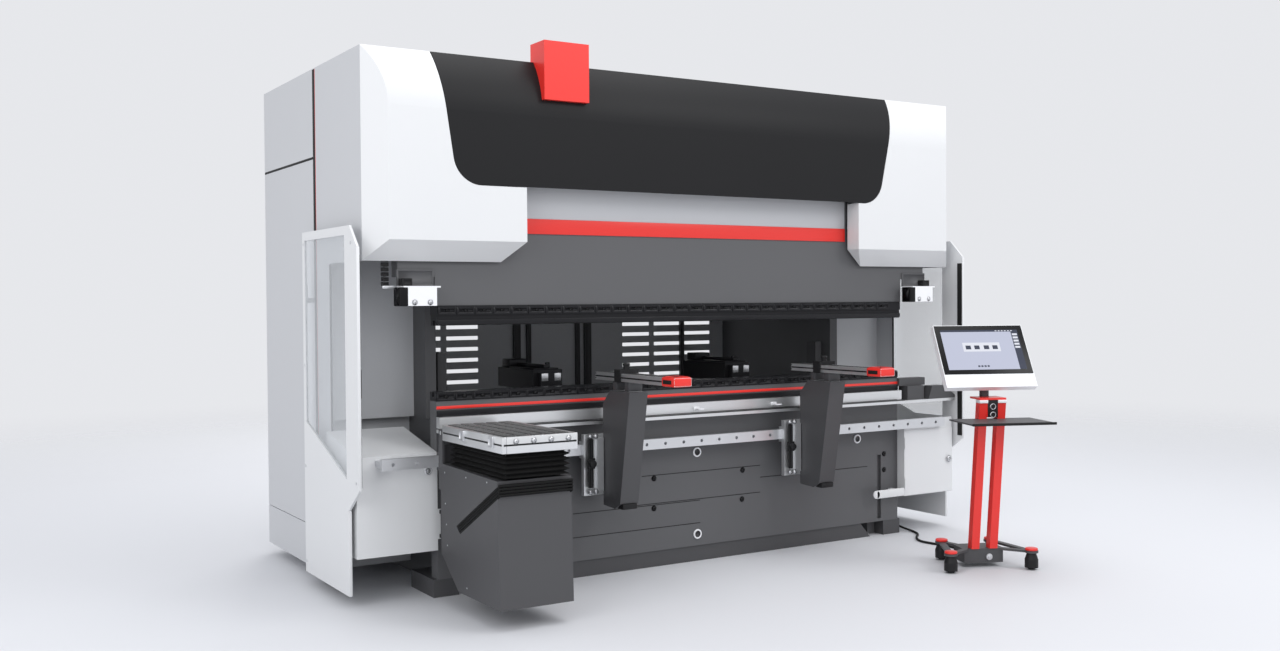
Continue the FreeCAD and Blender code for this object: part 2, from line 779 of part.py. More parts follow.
# ---------------------------------------------------------------- back gauge
def back_gauge():
    pieces = []
    reach = "frame_inner-gauge_rail_width-gauge_block_inner-slide_gap"
    for side, name in SIDES:
        block_low = "gauge_rail_low+gauge_rail_height+slide_gap"
        width = "frame_inner-gauge_block_inner-2"
        pieces.append(box(name + "_gauge_shoe", sided(side, "gauge_block_inner", width), "gauge_block_front",
                          block_low, width, "gauge_block_depth", "60"))
        pieces.append(box(name + "_gauge_tower", sided(side, "gauge_block_inner", reach), "gauge_block_front",
                          "gauge_rail_low", reach, "gauge_beam_depth", "gauge_tower_top-gauge_rail_low"))
    pieces.append(box("gauge_tie", "-gauge_block_inner", "gauge_block_front", "gauge_rail_low+10",
                      "2*gauge_block_inner", "gauge_beam_depth", "80"))
    node(joined("GaugeCarriage", pieces), "gauge_carriage")
    beam = box("gauge_bar", "-gauge_block_inner+slide_gap", "gauge_block_front", "gauge_beam_low",
               "2*(gauge_block_inner-slide_gap)", "gauge_beam_depth", "gauge_beam_height")
    node(beam, "gauge_beam")
    for side, name in SIDES:
        x = "-left_finger_x" if side < 0 else "right_finger_x"
        low = "gauge_beam_low+gauge_beam_height+slide_gap"
        body = box(name + "_finger_body", x + "-finger_width/2", "finger_front", low, "finger_width",
                   "finger_length", "finger_height")
        tip = box(name + "_finger_tip", x + "-finger_tip_width/2", "finger_front-finger_tip", low + "+20",
                  "finger_tip_width", "finger_tip", "finger_height-35")
        node(joined(name + "_finger", [body, tip]), name + "_gauge_finger")


# ---------------------------------------------------------------- supports at the front
def rail_shoe(name, x, width, low, top):
    """A plate in front of the rail with a lip above and below it."""
    front = "-support_back"
    depth = "support_back-rail_front-slide_gap"
    plate = box(name + "_plate", x, front, low, width, depth, "%s-(%s)" % (top, low))
    upper = box(name + "_upper_lip", x, front, "rail_middle+rail_height/2+slide_gap", width,
                depth + "+slide_gap+lip_depth", "carriage_lip")
    lower = box(name + "_lower_lip", x, front, "rail_middle-rail_height/2-slide_gap-carriage_lip", width,
                depth + "+slide_gap+lip_depth", "carriage_lip")
    return [plate, upper, lower]


def front_support(name):
    centre = "-left_support_x" if name == "left" else "right_support_x"
    shoe = rail_shoe(name + "_shoe", centre + "-carriage_left", "carriage_left+support_width/2",
                     "carriage_low", "carriage_top")
    low_guide = box(name + "_lift_guide", centre + "-support_width/2-45", "-support_back-14",
                    "carriage_low+20", "40", "14", "carriage_top-carriage_low-40")
    node(joined(name + "_carriage", shoe + [low_guide]), name + "_support_carriage")

    side = [("-support_back-slide_gap", "support_low"), ("-support_back-slide_gap", "support_high-74"),
            ("-support_back-74", "support_high"), ("-support_back-271", "support_high"),
            ("-support_back-170", "support_low+24"), ("-support_back-117", "support_low-7")]
    hollow = [("-support_back+10", "support_low+2*sheet"), ("-support_back+10", "support_high-84"),
              ("-support_back-75", "support_high-sheet"), ("-support_back-266", "support_high-sheet"),
              ("-support_back-166", "support_low+24+sheet"), ("-support_back-117", "support_low-3")]
    shift = centre + "-support_width/2"
    outer = padded(name + "_column_block", "YZ", side, "support_width", shift)
    inner = padded(name + "_column_hollow", "YZ", hollow, "support_width-2*sheet", shift + "+sheet")
    node(less(name + "_column", outer, [inner]), name + "_support_column")

    x = centre + "-arm_width/2"
    bar = box(name + "_arm_bar", x, "-arm_front", "arm_low", "arm_width", "arm_front-arm_back", "arm_height")
    slots = []
    for title, at in (("upper", "arm_low+arm_height-10"), ("lower", "arm_low+6")):
        slots.append(box("%s_arm_%s_slot" % (name, title), x, "-arm_front", at, "6", "arm_front-arm_back", "5"))
    posts = []
    for i, at in enumerate(("80", "200")):
        posts.append(box("%s_arm_post_%d" % (name, i + 1), x + "+10", "-support_back-%s-40" % at,
                         "support_high", "arm_width-20", "40", "arm_low-support_high"))
    arm = joined(name + "_arm_with_posts", [less(name + "_arm_bar_slotted", bar, slots)] + posts)
    node(arm, name + "_support_arm")

    saddle = box(name + "_stop_saddle", centre + "-arm_width/2-6-slide_gap", "-stop_y", "arm_low-4",
                 "arm_width+2*(6+slide_gap)", "stop_length", "arm_height+stop_height")
    channel = box(name + "_stop_channel", centre + "-arm_width/2-slide_gap", "-stop_y", "arm_low-4",
                  "arm_width+2*slide_gap", "stop_length", "arm_height+4+slide_gap")
    knob = rod(name + "_stop_knob", centre, "-stop_y+stop_length/2", "arm_low+arm_height+stop_height-6",
               "16", "18")
    node(joined(name + "_stop", [less(name + "_stop_block", saddle, [channel]), knob]), name + "_support_stop")


def follower():
    x = "-follower_left"
    wide = "follower_width"
    rear = "-support_back"
    side = [(rear, "follower_plate"), ("-follower_front+20", "follower_plate-14"),
            ("-follower_front", "follower_bottom"), ("-follower_front+458", "follower_bottom"),
            (rear, "follower_bottom+150")]
    slot = [("-follower_front-1", "follower_plate-75"), ("-follower_front-1", "follower_plate-26"),
            ("-support_back-185", "follower_plate-279"), ("-support_back-220", "follower_plate-307")]
    body = padded("follower_block", "YZ", side, wide, x)
    cut = padded("follower_slot", "YZ", slot, wide, x)
    wall = "follower_wall"
    hollow = [(rear + "-" + wall, "follower_plate-30"), ("-follower_front+40", "follower_plate-40"),
              ("-follower_front+12", "follower_bottom+" + wall), (rear + "-170", "follower_bottom+8"),
              (rear + "-" + wall, "follower_bottom+160")]
    cavity = padded("follower_cavity", "YZ", hollow, wide + "-2*" + wall, x + "+" + wall)
    plug = padded("follower_slot_wall", "YZ", [
        ("-follower_front+14", "follower_plate-79"), ("-follower_front+14", "follower_plate-26"),
        ("-support_back-175", "follower_plate-279"), ("-support_back-210", "follower_plate-307")],
        wide + "-2*" + wall + "-24", x + "+" + wall + "+12")
    shell = less("follower_shell", body, [cut, cavity])
    shoe = rail_shoe("follower_shoe", x, wide, "rail_middle-136", "rail_middle+84")
    ears = []
    for i, at in enumerate((x, x + "+follower_width-ear_width")):
        ears.append(box("follower_ear_%d" % (i + 1), at, "-support_back-22", "follower_plate-20", "ear_width",
                        "44", "hinge_height+18-follower_plate+20"))
    hole = rod("follower_pin_hole", x, "-support_back", "hinge_height", "hinge_pin+running_fit", wide, "x")
    node(less("FollowerHousing", joined("follower_weldment", [shell, plug] + shoe + ears), [hole]),
         "follower_housing")
    inner_x = x + "+ear_width+slide_gap"
    inner_w = "follower_width-2*(ear_width+slide_gap)"
    block = box("follower_deck", x, "-bed_lift_front", "bed_lift_low", wide,
                "bed_lift_front-support_back-30", "bed_lift_height")
    under = box("follower_deck_hollow", x + "+deck_rail", "-bed_lift_front+deck_rail", "bed_lift_low",
                wide + "-2*deck_rail", "bed_lift_front-support_back-30-2*deck_rail",
                "bed_lift_height-deck_plate")
    deck = less("follower_deck_frame", block, [under])
    tongue = box("follower_tongue", inner_x, "-support_back-32", "bed_lift_low+14", inner_w, "48",
                 "bed_lift_height-28")
    pin = rod("follower_pin", x, "-support_back", "hinge_height", "hinge_pin", wide, "x")
    node(joined("FollowerTable", [deck, tongue, pin]), "follower_table")
    bellows = box("follower_bellows_block", x + "+20", "-bed_lift_front+25", "follower_plate+slide_gap",
                  wide + "-40", "bed_lift_front-support_back-90",
                  "bed_lift_low-follower_plate-2*slide_gap")
    node(bellows, "follower_bellows")


# ---------------------------------------------------------------- side guards
def guards():
    outline = [("guard_back", "guard_low"), ("guard_back", "guard_high"), ("-guard_front-46", "guard_high"),
               ("-guard_flange", "guard_flange_high"), ("-guard_flange", "guard_flange_low"),
               ("-guard_front", "guard_flange_low-110"), ("-guard_front", "guard_low")]
    window = [("guard_back-39", "guard_flange_low+269"), ("guard_back-39", "guard_high-44"),
              ("-guard_front+24", "guard_high-44"), ("-guard_front+24", "guard_flange_low+39")]
    for side, name in SIDES:
        shift = sided(side, "guard_outer-guard_thickness", "guard_thickness")
        plate = padded(name + "_guard_plate", "YZ", outline, "guard_thickness", shift)
        hole = padded(name + "_guard_opening", "YZ", window, "guard_thickness", shift)
        pieces = [less(name + "_guard_sheet", plate, [hole])]
        axis = "guard_axis_x" if side > 0 else "-guard_axis_x"
        bores = []
        for title in ("guard_hinge_low", "guard_hinge_high"):
            label = "%s_%s" % (name, title)
            pieces.append(rod(label + "_knuckle", axis, "guard_axis_y", title + "+slide_gap", "knuckle_radius",
                              "knuckle_length"))
            pieces.append(box(label + "_leaf", sided(side, "guard_outer-guard_thickness", "6"),
                              "guard_back-20", title + "+slide_gap", "6", "guard_axis_y-guard_back+20",
                              "knuckle_length"))
            bores.append(rod(label + "_bore", axis, "guard_axis_y", title, "pin_radius+running_fit",
                             "knuckle_length+10"))
        node(less(name + "_guard_door", joined(name + "_guard_parts", pieces), bores), name + "_guard")
        middle = sided(side, "guard_outer-guard_thickness/2-pane_thickness/2", "pane_thickness")
        node(padded(name + "_pane", "YZ", window, "pane_thickness", middle), name + "_guard_window")


def left_storage_box():
    """A closed box with a sloping lid, narrower where it runs in beside the side panel."""
    inner = "box_inner"
    front = "-left_box_front"
    back = "box_back"
    lid = "left_box_top"
    width = "box_outer-box_inner"
    shift = sided(-1, inner, width)
    side = [(front, "box_bottom"), (front, lid), (back, lid + "+box_slope*(box_back+left_box_front)"),
            (back, "box_bottom")]
    wall = "sheet"
    inside = [(front + "+" + wall, "box_bottom+" + wall), (front + "+" + wall, lid + "-" + wall),
              (back + "-" + wall, lid + "+box_slope*(box_back+left_box_front)-2*" + wall),
              (back + "-" + wall, "box_bottom+" + wall)]
    block = padded("left_box_block", "YZ", side, width, shift)
    hollow = padded("left_box_hollow", "YZ", inside, width + "-2*" + wall, shift + "+" + wall)
    hinge = box("left_box_hinge", sided(-1, inner + "-36", "36"), front, "box_bottom+56", "36", wall, "150")
    return joined("left_box", [less("left_box_shell", block, [hollow]), hinge])


def right_storage_box():
    """An open-topped box with a doorway in its front and a door stop beside it."""
    inner = "box_inner"
    front = "-right_box_front"
    wall = "sheet"
    width = "box_outer-box_inner"
    outer = box("right_box_block", inner, front, "box_bottom", width, "box_back+right_box_front",
                "right_box_top-box_bottom")
    hollow = box("right_box_hollow", inner + "+" + wall, front + "+" + wall, "box_bottom+" + wall,
                 width + "-2*" + wall, "box_back+right_box_front-2*" + wall, "right_box_top-box_bottom")
    doorway = box("right_box_doorway", inner + "+door_margin", front, "box_bottom+door_margin",
                  width + "-2*door_margin", wall, "box_door_top-box_bottom-2*door_margin")
    pieces = [less("right_box_shell", outer, [hollow, doorway])]
    for i, low in enumerate(("box_hinge_low", "box_hinge_high")):
        label = "box_hinge_%d" % (i + 1)
        pieces.append(box(label + "_bracket", "box_axis_x-box_knuckle", front + "-sheet-2*box_knuckle",
                          low + "-12", "box_bracket", "sheet+2*box_knuckle", "12"))
        pieces.append(rod(label + "_pin", "box_axis_x", front + "-sheet-box_knuckle", low + "-6", "rear_pin",
                          "box_knuckle_length+12"))
    return joined("right_box", pieces)


def storage_boxes():
    node(group("StorageBoxes", [left_storage_box(), right_storage_box()]), "storage_boxes")
    front = "-right_box_front"
    door = box("door_sheet", "box_axis_x", front + "-sheet", "box_bottom+sheet", "box_outer-box_axis_x",
               "sheet-slide_gap", "box_door_top-box_bottom-sheet")
    pieces = [door]
    bores = []
    for i, low in enumerate(("box_hinge_low", "box_hinge_high")):
        label = "door_hinge_%d" % (i + 1)
        axis_y = front + "-sheet-box_knuckle"
        pieces.append(rod(label + "_knuckle", "box_axis_x", axis_y, low + "+slide_gap", "box_knuckle",
                          "box_knuckle_length"))
        bores.append(rod(label + "_bore", "box_axis_x", axis_y, low, "rear_pin+running_fit",
                         "box_knuckle_length+6"))
        tools = box(label + "_notch", "box_axis_x-1", front + "-sheet-1", low + "-13", "box_knuckle+2",
                    "sheet+2", "13+slide_gap")
        bores.append(tools)
    node(less("BoxDoor", joined("door_parts", pieces), bores), "storage_door")


def end_units():
    start = "bend_length/2"
    top = "ledge_low+ledge_height"
    motor = box("crowning_motor", start + "+42", "-bed_front-50", top, "140", "80", "87")
    cap = box("crowning_plate", start, "-bed_front-20", top + "+87", "220", "60", "48")
    wedge = padded("junction_case", "XZ", [
        (start + "+200", top), ("ledge_end", top), ("ledge_end", top + "+18"),
        ("ledge_end-90", top + "+82"), (start + "+230", top + "+82")], "70", "-bed_front-5")
    node(group("EndUnits", [joined("crowning_drive", [motor, cap]), wedge]), "table_end_units")


# ---------------------------------------------------------------- operator stand
STAND = FreeCAD.Placement(FreeCAD.Vector(number("stand_x"), number("stand_y"), 0),
                          FreeCAD.Rotation(FreeCAD.Vector(0, 0, 1), number("stand_turn")))
CASTERS = (("-leg_front_x", "-leg_front_y"), ("leg_front_x", "-leg_front_y"),
           ("-leg_back_x", "leg_back_y"), ("leg_back_x", "leg_back_y"))


def leg_bar(name, start, end):
    """A flat bar of the stand's base between two points of its plan."""
    x0, y0 = number(start[0]), number(start[1])
    x1, y1 = number(end[0]), number(end[1])
    turn = math.degrees(math.atan2(y1 - y0, x1 - x0))
    bar = doc.addObject("Part::Box", name)
    bind(bar, Width="leg_width", Height="stand_plate")
    bar.Length = math.hypot(x1 - x0, y1 - y0)
    rotation = FreeCAD.Rotation(FreeCAD.Vector(0, 0, 1), turn)
    shift = rotation.multVec(FreeCAD.Vector(0, -number("leg_width") / 2, 0))
    bar.Placement = FreeCAD.Placement(FreeCAD.Vector(x0, y0, number("stand_plate_low")) + shift, rotation)
    return bar


def stand_base():
    half = "stand_box_half"
    deep = "stand_box_depth"
    pieces = [box("stand_top_plate", "-" + half, "-" + deep, "stand_plate_low", "2*" + half, "2*" + deep,
                  "stand_plate")]
    pieces.append(box("stand_case", "-%s+4" % half, "-" + deep, "stand_box_low", "2*%s-8" % half,
                      "2*%s-6" % deep, "stand_plate_low-stand_box_low"))
    corners = {"left_back": ("-95", "60"), "left_front": ("-95", "-60"), "right_back": ("95", "60"),
               "right_front": ("95", "-60")}
    links = (("left_front", 0), ("right_front", 1), ("left_back", 2), ("right_back", 3))
    for title, position in links:
        pieces.append(leg_bar("stand_leg_" + title, corners[title], CASTERS[position]))
    pieces.append(leg_bar("stand_left_link", CASTERS[0], CASTERS[2]))
    pieces.append(leg_bar("stand_right_link", CASTERS[1], CASTERS[3]))
    holes = []
    for i, (x, y) in enumerate(CASTERS):
        pieces.append(rod("stand_disc_%d" % (i + 1), x, y, "stand_plate_low", "leg_disc", "stand_plate"))
        holes.append(rod("stand_stem_hole_%d" % (i + 1), x, y, "stand_plate_low", "pin_radius+running_fit",
                         "stand_plate"))
    node(less("StandBase", joined("stand_base_parts", pieces), holes), "stand_base", STAND)


def stand_uprights():
    foot = "stand_plate_low+stand_plate"
    half = "upright_depth/2"
    side = [("-upright_foot-" + half, foot), ("-upright_foot+" + half, foot),
            ("-upright_foot-upright_lean+" + half, "upright_top"),
            ("-upright_foot-upright_lean-" + half, "upright_top")]
    pieces = []
    for way, name in SIDES:
        pieces.append(padded(name + "_upright", "YZ", side, "upright_width",
                             sided(way, "upright_inner", "upright_width")))
    legs = list(pieces)
    strip = [("-upright_foot-upright_lean-20", "upright_top-95"),
             ("-upright_foot-upright_lean+30", "upright_top-95"),
             ("-upright_foot-upright_lean+20", "upright_top"), ("-upright_foot-upright_lean-20", "upright_top")]
    pieces.append(padded("button_strip", "YZ", strip, "2*upright_inner", "-upright_inner"))
    pieces.append(box("upright_cap", "-upright_inner-upright_width", "-upright_foot-upright_lean-" + half,
                      "upright_top", "2*(upright_inner+upright_width)", "130", "10"))
    pockets = []
    for title in ("low", "high"):
        pockets.append(rod("button_%s_pocket" % title, "0", "-upright_foot-upright_lean-60", "button_" + title,
                           "button_radius+running_fit", "60", "y"))
    neck_hole = rod("neck_hole", "0", "-neck_y", "upright_top-1", "pin_radius+running_fit", "12")
    node(less("Uprights", joined("upright_parts", pieces), pockets + [neck_hole]), "stand_uprights", STAND)
    shelf = box("shelf_sheet", "-shelf_half", "-shelf_front", "shelf_top-shelf_sheet", "2*shelf_half",
                "shelf_front-shelf_back", "shelf_sheet")
    node(less("Shelf", shelf, legs), "keyboard_shelf", STAND)
    for title in ("low", "high"):
        face = "-upright_foot-upright_lean-20"
        cap = rod("button_%s_cap" % title, "0", face + "-button_out", "button_" + title, "button_radius",
                  "button_out+button_depth", "y")
        node(group("Button_" + title, [cap]), {"low": "lower", "high": "upper"}[title] + "_button", STAND)


def monitor():
    low = "upright_top+10+slide_gap"
    post = rod("neck_post", "0", "-neck_y", low, "neck_radius", "neck_height")
    stem = rod("neck_stem", "0", "-neck_y", "upright_top", "pin_radius", "20")
    arm = box("neck_arm", "-60", "-neck_y-neck_radius", low + "+neck_height", "120",
              "neck_y+neck_radius-20", "14")
    pieces = [post, stem, arm]
    for side, name in SIDES:
        pieces.append(box(name + "_neck_ear", sided(side, "50", "10"), "-tilt_y-11", low + "+neck_height", "10",
                          "37", "tilt_z+12-(%s+neck_height)" % low))
    pieces.append(rod("neck_pin", "-60", "-tilt_y", "tilt_z", "tilt_pin", "120", "x"))
    node(joined("Neck", pieces), "monitor_neck", STAND)

    turn = FreeCAD.Rotation(FreeCAD.Vector(1, 0, 0), -number("monitor_tilt"))
    hinge = FreeCAD.Vector(0, -number("tilt_y"), number("tilt_z"))
    case = box("monitor_case", "-monitor_half", "-monitor_back", "monitor_above-monitor_height",
               "2*monitor_half", "monitor_depth", "monitor_height")
    lug = box("monitor_lug", "-49.7", "monitor_depth-monitor_back", "-14", "99.4",
              "monitor_back-monitor_depth+12", "28")
    hole = rod("monitor_lug_hole", "-60", "0", "0", "tilt_pin+running_fit", "120", "x")
    whole = less("Monitor", joined("monitor_parts", [case, lug]), [hole])
    node(whole, "monitor", STAND * FreeCAD.Placement(hinge, turn))


def casters():
    for i, (x, y) in enumerate(CASTERS):
        name = "caster_%d" % (i + 1)
        top = "stand_plate_low-slide_gap"
        skirt = rod(name + "_skirt", x, y, "caster_skirt", "caster_hood", "2*caster_wheel+8-caster_skirt")
        dome = cone(name + "_dome", x, y, "2*caster_wheel+8", "caster_hood", "caster_neck",
                    top + "-2*caster_wheel-8")
        bell = joined(name + "_bell", [skirt, dome])
        cavity = rod(name + "_cavity", x, y, "0", "caster_cavity", "2*caster_wheel+4")
        axle = rod(name + "_axle", x + "-caster_cavity", y, "caster_wheel", "caster_axle", "2*caster_cavity", "x")
        stem = rod(name + "_stem", x, y, top + "-2", "pin_radius", "stand_plate+1")
        hood = joined(name + "_hood_parts", [less(name + "_shell", bell, [cavity]), axle, stem])
        node(hood, name + "_hood", STAND)
        tyre = rod(name + "_tyre", x + "-caster_width/2", y, "caster_wheel", "caster_wheel", "caster_width", "x")
        bore = rod(name + "_tyre_bore", x + "-caster_width/2", y, "caster_wheel", "caster_axle+running_fit",
                   "caster_width", "x")
        node(less(name + "_wheel_cut", tyre, [bore]), name + "_wheel", STAND)


# ---------------------------------------------------------------- cable
def along(points):
    """Straight runs joined by tangent arcs, as large as the two runs allow."""
    corners = [FreeCAD.Vector(*p) for p in points]
    edges = []
    last = corners[0]
    for i in range(1, len(corners) - 1):
        before = corners[i - 1] - corners[i]
        after = corners[i + 1] - corners[i]
        turn = math.pi - before.getAngle(after)
        cut = 0.45 * min(before.Length, after.Length)
        radius = cut / math.tan(turn / 2)
        print("cable turn %d: %.0f degrees, radius %.0f" % (i, math.degrees(turn), radius))
        start = corners[i] + FreeCAD.Vector(before).normalize() * cut
        end = corners[i] + FreeCAD.Vector(after).normalize() * cut
        to_centre = (FreeCAD.Vector(before).normalize() + FreeCAD.Vector(after).normalize()).normalize()
        centre = corners[i] + to_centre * math.hypot(radius, cut)
        middle = centre - to_centre * radius
        edges.append(Part.LineSegment(last, start).toShape())
        edges.append(Part.Arc(start, middle, end).toShape())
        last = end
    edges.append(Part.LineSegment(last, corners[-1]).toShape())
    return Part.Wire(edges)


def cable():
    radius = number("cable_radius")
    inlet = STAND.multVec(FreeCAD.Vector(0, number("stand_box_depth") - 6 + 22, 60))
    back = STAND.Rotation.multVec(FreeCAD.Vector(0, 1, 0))
    lead = inlet + back * 60
    start_x = number("frame_inner+frame_plate+gland_length")
    floor = radius + 0.5
    route = [
        (start_x, 200, 120), (1548, 200, 120), (1612, 150, 76), (1638, 62, 22), (1648, -52, floor),
        (1606, -152, floor), (1506, -226, floor), (1446, -322, floor), (1462, -430, floor),
        (1488, -542, floor), (1452, -646, floor), (1376, -724, 18),
        (lead.x, lead.y, lead.z), (inlet.x, inlet.y, inlet.z)]
    path = along(route)
    first = FreeCAD.Vector(*route[1]) - FreeCAD.Vector(*route[0])
    ring = Part.Wire(Part.makeCircle(radius, FreeCAD.Vector(*route[0]), first))
    tube = path.makePipeShell([ring], True, False)
    print("cable length %.0f, volume over section %.0f" % (path.Length, tube.Volume / (math.pi * radius ** 2)))
    solid_feature("Cable", "terminal_cable", tube)
    wall = number("gland_radius")
    near = Part.makeCylinder(wall, number("gland_length"), FreeCAD.Vector(number("frame_inner+frame_plate"), 200, 120),
                             FreeCAD.Vector(1, 0, 0))
    case = STAND.multVec(FreeCAD.Vector(0, number("stand_box_depth") - 6, 60))
    far = Part.makeCylinder(wall, 22, case, back)
    solid_feature("Glands", "cable_glands", Part.makeCompound([near, far]))


machine_frame()
bed_beam()
base_plinth()
table()
support_rail()
covers()
badge_box()
side_panels()
rear_cabinets()
roof_and_rear_wall()
ram()
linear_guides()
safety_sensors()
power_pack()
back_gauge()
for title in ("left", "right"):
    front_support(title)
follower()
guards()
storage_boxes()
end_units()
stand_base()
stand_uprights()
monitor()
casters()
cable()
doc.recompute()

for item in doc.Objects:
    if "Invalid" in item.State or "Error" in item.State:
        raise RuntimeError("%s is in state %s" % (item.Name, item.State))
os.makedirs("parts", exist_ok=True)
for item in nodes:
    shape = item.Shape
    if shape.isNull() or not shape.isValid() or not shape.Solids:
        raise RuntimeError("%s has no valid solid" % item.Label)
    shape.exportStep("parts/%s.step" % item.Label)
print("sub-parts:", len(nodes))
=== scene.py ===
import json
import math

import bpy
from mathutils import Euler, Matrix, Quaternion, Vector


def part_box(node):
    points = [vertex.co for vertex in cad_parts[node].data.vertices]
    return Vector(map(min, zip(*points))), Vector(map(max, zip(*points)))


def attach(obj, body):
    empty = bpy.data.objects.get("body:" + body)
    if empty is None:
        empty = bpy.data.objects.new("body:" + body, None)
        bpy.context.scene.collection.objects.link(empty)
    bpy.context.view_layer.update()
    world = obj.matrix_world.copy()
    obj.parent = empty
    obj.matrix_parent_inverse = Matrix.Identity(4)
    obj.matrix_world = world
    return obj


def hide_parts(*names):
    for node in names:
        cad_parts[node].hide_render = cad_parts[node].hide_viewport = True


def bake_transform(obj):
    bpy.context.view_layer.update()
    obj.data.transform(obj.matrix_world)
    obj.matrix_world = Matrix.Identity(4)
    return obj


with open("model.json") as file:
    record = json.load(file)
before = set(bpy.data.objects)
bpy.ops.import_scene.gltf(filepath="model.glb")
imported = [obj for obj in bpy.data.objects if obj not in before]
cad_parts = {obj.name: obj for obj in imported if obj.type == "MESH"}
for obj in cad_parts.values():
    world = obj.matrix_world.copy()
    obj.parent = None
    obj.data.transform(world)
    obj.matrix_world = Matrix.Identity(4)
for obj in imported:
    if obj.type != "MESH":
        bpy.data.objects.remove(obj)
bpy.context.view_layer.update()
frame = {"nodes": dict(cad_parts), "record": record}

bl_info = {
    "name": "Press brake looks",
    "version": (1, 0, 0),
    "blender": (4, 5, 0),
    "location": "View3D > Sidebar > Press brake",
    "description": "Finishes, trims and stage of a sheet-metal press brake",
    "category": "Object",
}

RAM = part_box("ram_beam")
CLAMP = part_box("upper_clamp")
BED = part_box("bed_beam")
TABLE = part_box("table_rail")
ARMS = {side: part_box(side + "_support_arm") for side in ("left", "right")}
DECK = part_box("follower_table")
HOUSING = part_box("follower_housing")
STAND_PLACE, STAND_TURN = (1.2645, -0.9548, 0), math.radians(-23)
STAND = Matrix.Translation(STAND_PLACE) @ Matrix.Rotation(STAND_TURN, 4, "Z")
SCREEN_HINGE, SCREEN_LEAN = (0, -0.046, 1.118), math.radians(-31.7)
SCREEN = STAND @ Matrix.Translation(SCREEN_HINGE) @ Matrix.Rotation(SCREEN_LEAN, 4, "X")
CASTERS = ((-0.231, -0.171), (0.231, -0.171), (-0.145, 0.162), (0.145, 0.162))


# ------------------------------------------------------------------ node groups
def new_group(name, inputs, outputs):
    """An empty shader group with named sockets."""
    tree = bpy.data.node_groups.new(name, "ShaderNodeTree")
    for label, kind, value in inputs:
        socket = tree.interface.new_socket(name=label, in_out="INPUT", socket_type=kind)
        socket.default_value = value
    for label, kind in outputs:
        tree.interface.new_socket(name=label, in_out="OUTPUT", socket_type=kind)
    return tree, tree.nodes.new("NodeGroupInput"), tree.nodes.new("NodeGroupOutput")


def wired(tree, kind, operation=None, links=(), values=()):
    """A shader node with its operation, the links into it and its fixed inputs."""
    node = tree.nodes.new(kind)
    if operation:
        node.operation = operation
    for socket, source in links:
        tree.links.new(source, node.inputs[socket])
    for socket, value in values:
        node.inputs[socket].default_value = value
    return node


def tone_group():
    """Slow drift of colour and gloss over a coated surface."""
    name = "Coating tone"
    if name in bpy.data.node_groups:
        return bpy.data.node_groups[name]
    tree, start, end = new_group(
        name,
        [("Colour", "NodeSocketColor", (0.5, 0.5, 0.5, 1)), ("Contrast", "NodeSocketFloat", 0.04),
         ("Scale", "NodeSocketFloat", 2.0), ("Gloss", "NodeSocketFloat", 0.4), ("Spread", "NodeSocketFloat", 0.05)],
        [("Colour", "NodeSocketColor"), ("Roughness", "NodeSocketFloat")])
    given = start.outputs
    place = wired(tree, "ShaderNodeTexCoord")
    noise = wired(tree, "ShaderNodeTexNoise", None,
                  [("Vector", place.outputs["Object"]), ("Scale", given["Scale"])], [("Detail", 4)])
    centred = wired(tree, "ShaderNodeMath", "SUBTRACT", [(0, noise.outputs["Fac"])], [(1, 0.5)])
    shade = wired(tree, "ShaderNodeMath", "MULTIPLY_ADD",
                  [(0, centred.outputs[0]), (1, given["Contrast"])], [(2, 1.0)])
    tint = wired(tree, "ShaderNodeVectorMath", "SCALE", [(0, given["Colour"]), ("Scale", shade.outputs[0])])
    gloss = wired(tree, "ShaderNodeMath", "MULTIPLY_ADD",
                  [(0, centred.outputs[0]), (1, given["Spread"]), (2, given["Gloss"])])
    tree.links.new(tint.outputs[0], end.inputs["Colour"])
    tree.links.new(gloss.outputs[0], end.inputs["Roughness"])
    return tree


def grain_group():
    """A fine surface relief: orange peel, powder coat, brushed lines or bristles by its stretch."""
    name = "Surface grain"
    if name in bpy.data.node_groups:
        return bpy.data.node_groups[name]
    tree, start, end = new_group(
        name,
        [("Stretch", "NodeSocketVector", (1, 1, 1)), ("Scale", "NodeSocketFloat", 400.0),
         ("Strength", "NodeSocketFloat", 0.1), ("Depth", "NodeSocketFloat", 0.0005)],
        [("Normal", "NodeSocketVector"), ("Mask", "NodeSocketFloat")])
    given = start.outputs
    place = wired(tree, "ShaderNodeTexCoord")
    stretch = wired(tree, "ShaderNodeVectorMath", "MULTIPLY",
                    [(0, place.outputs["Object"]), (1, given["Stretch"])])
    noise = wired(tree, "ShaderNodeTexNoise", None,
                  [("Vector", stretch.outputs[0]), ("Scale", given["Scale"])], [("Detail", 3)])
    bump = wired(tree, "ShaderNodeBump", None,
                 [("Strength", given["Strength"]), ("Distance", given["Depth"]), ("Height", noise.outputs["Fac"])])
    tree.links.new(bump.outputs["Normal"], end.inputs["Normal"])
    tree.links.new(noise.outputs["Fac"], end.inputs["Mask"])
    return tree


def set_inputs(node, values):
    for label, value in values.items():
        node.inputs[label].default_value = value


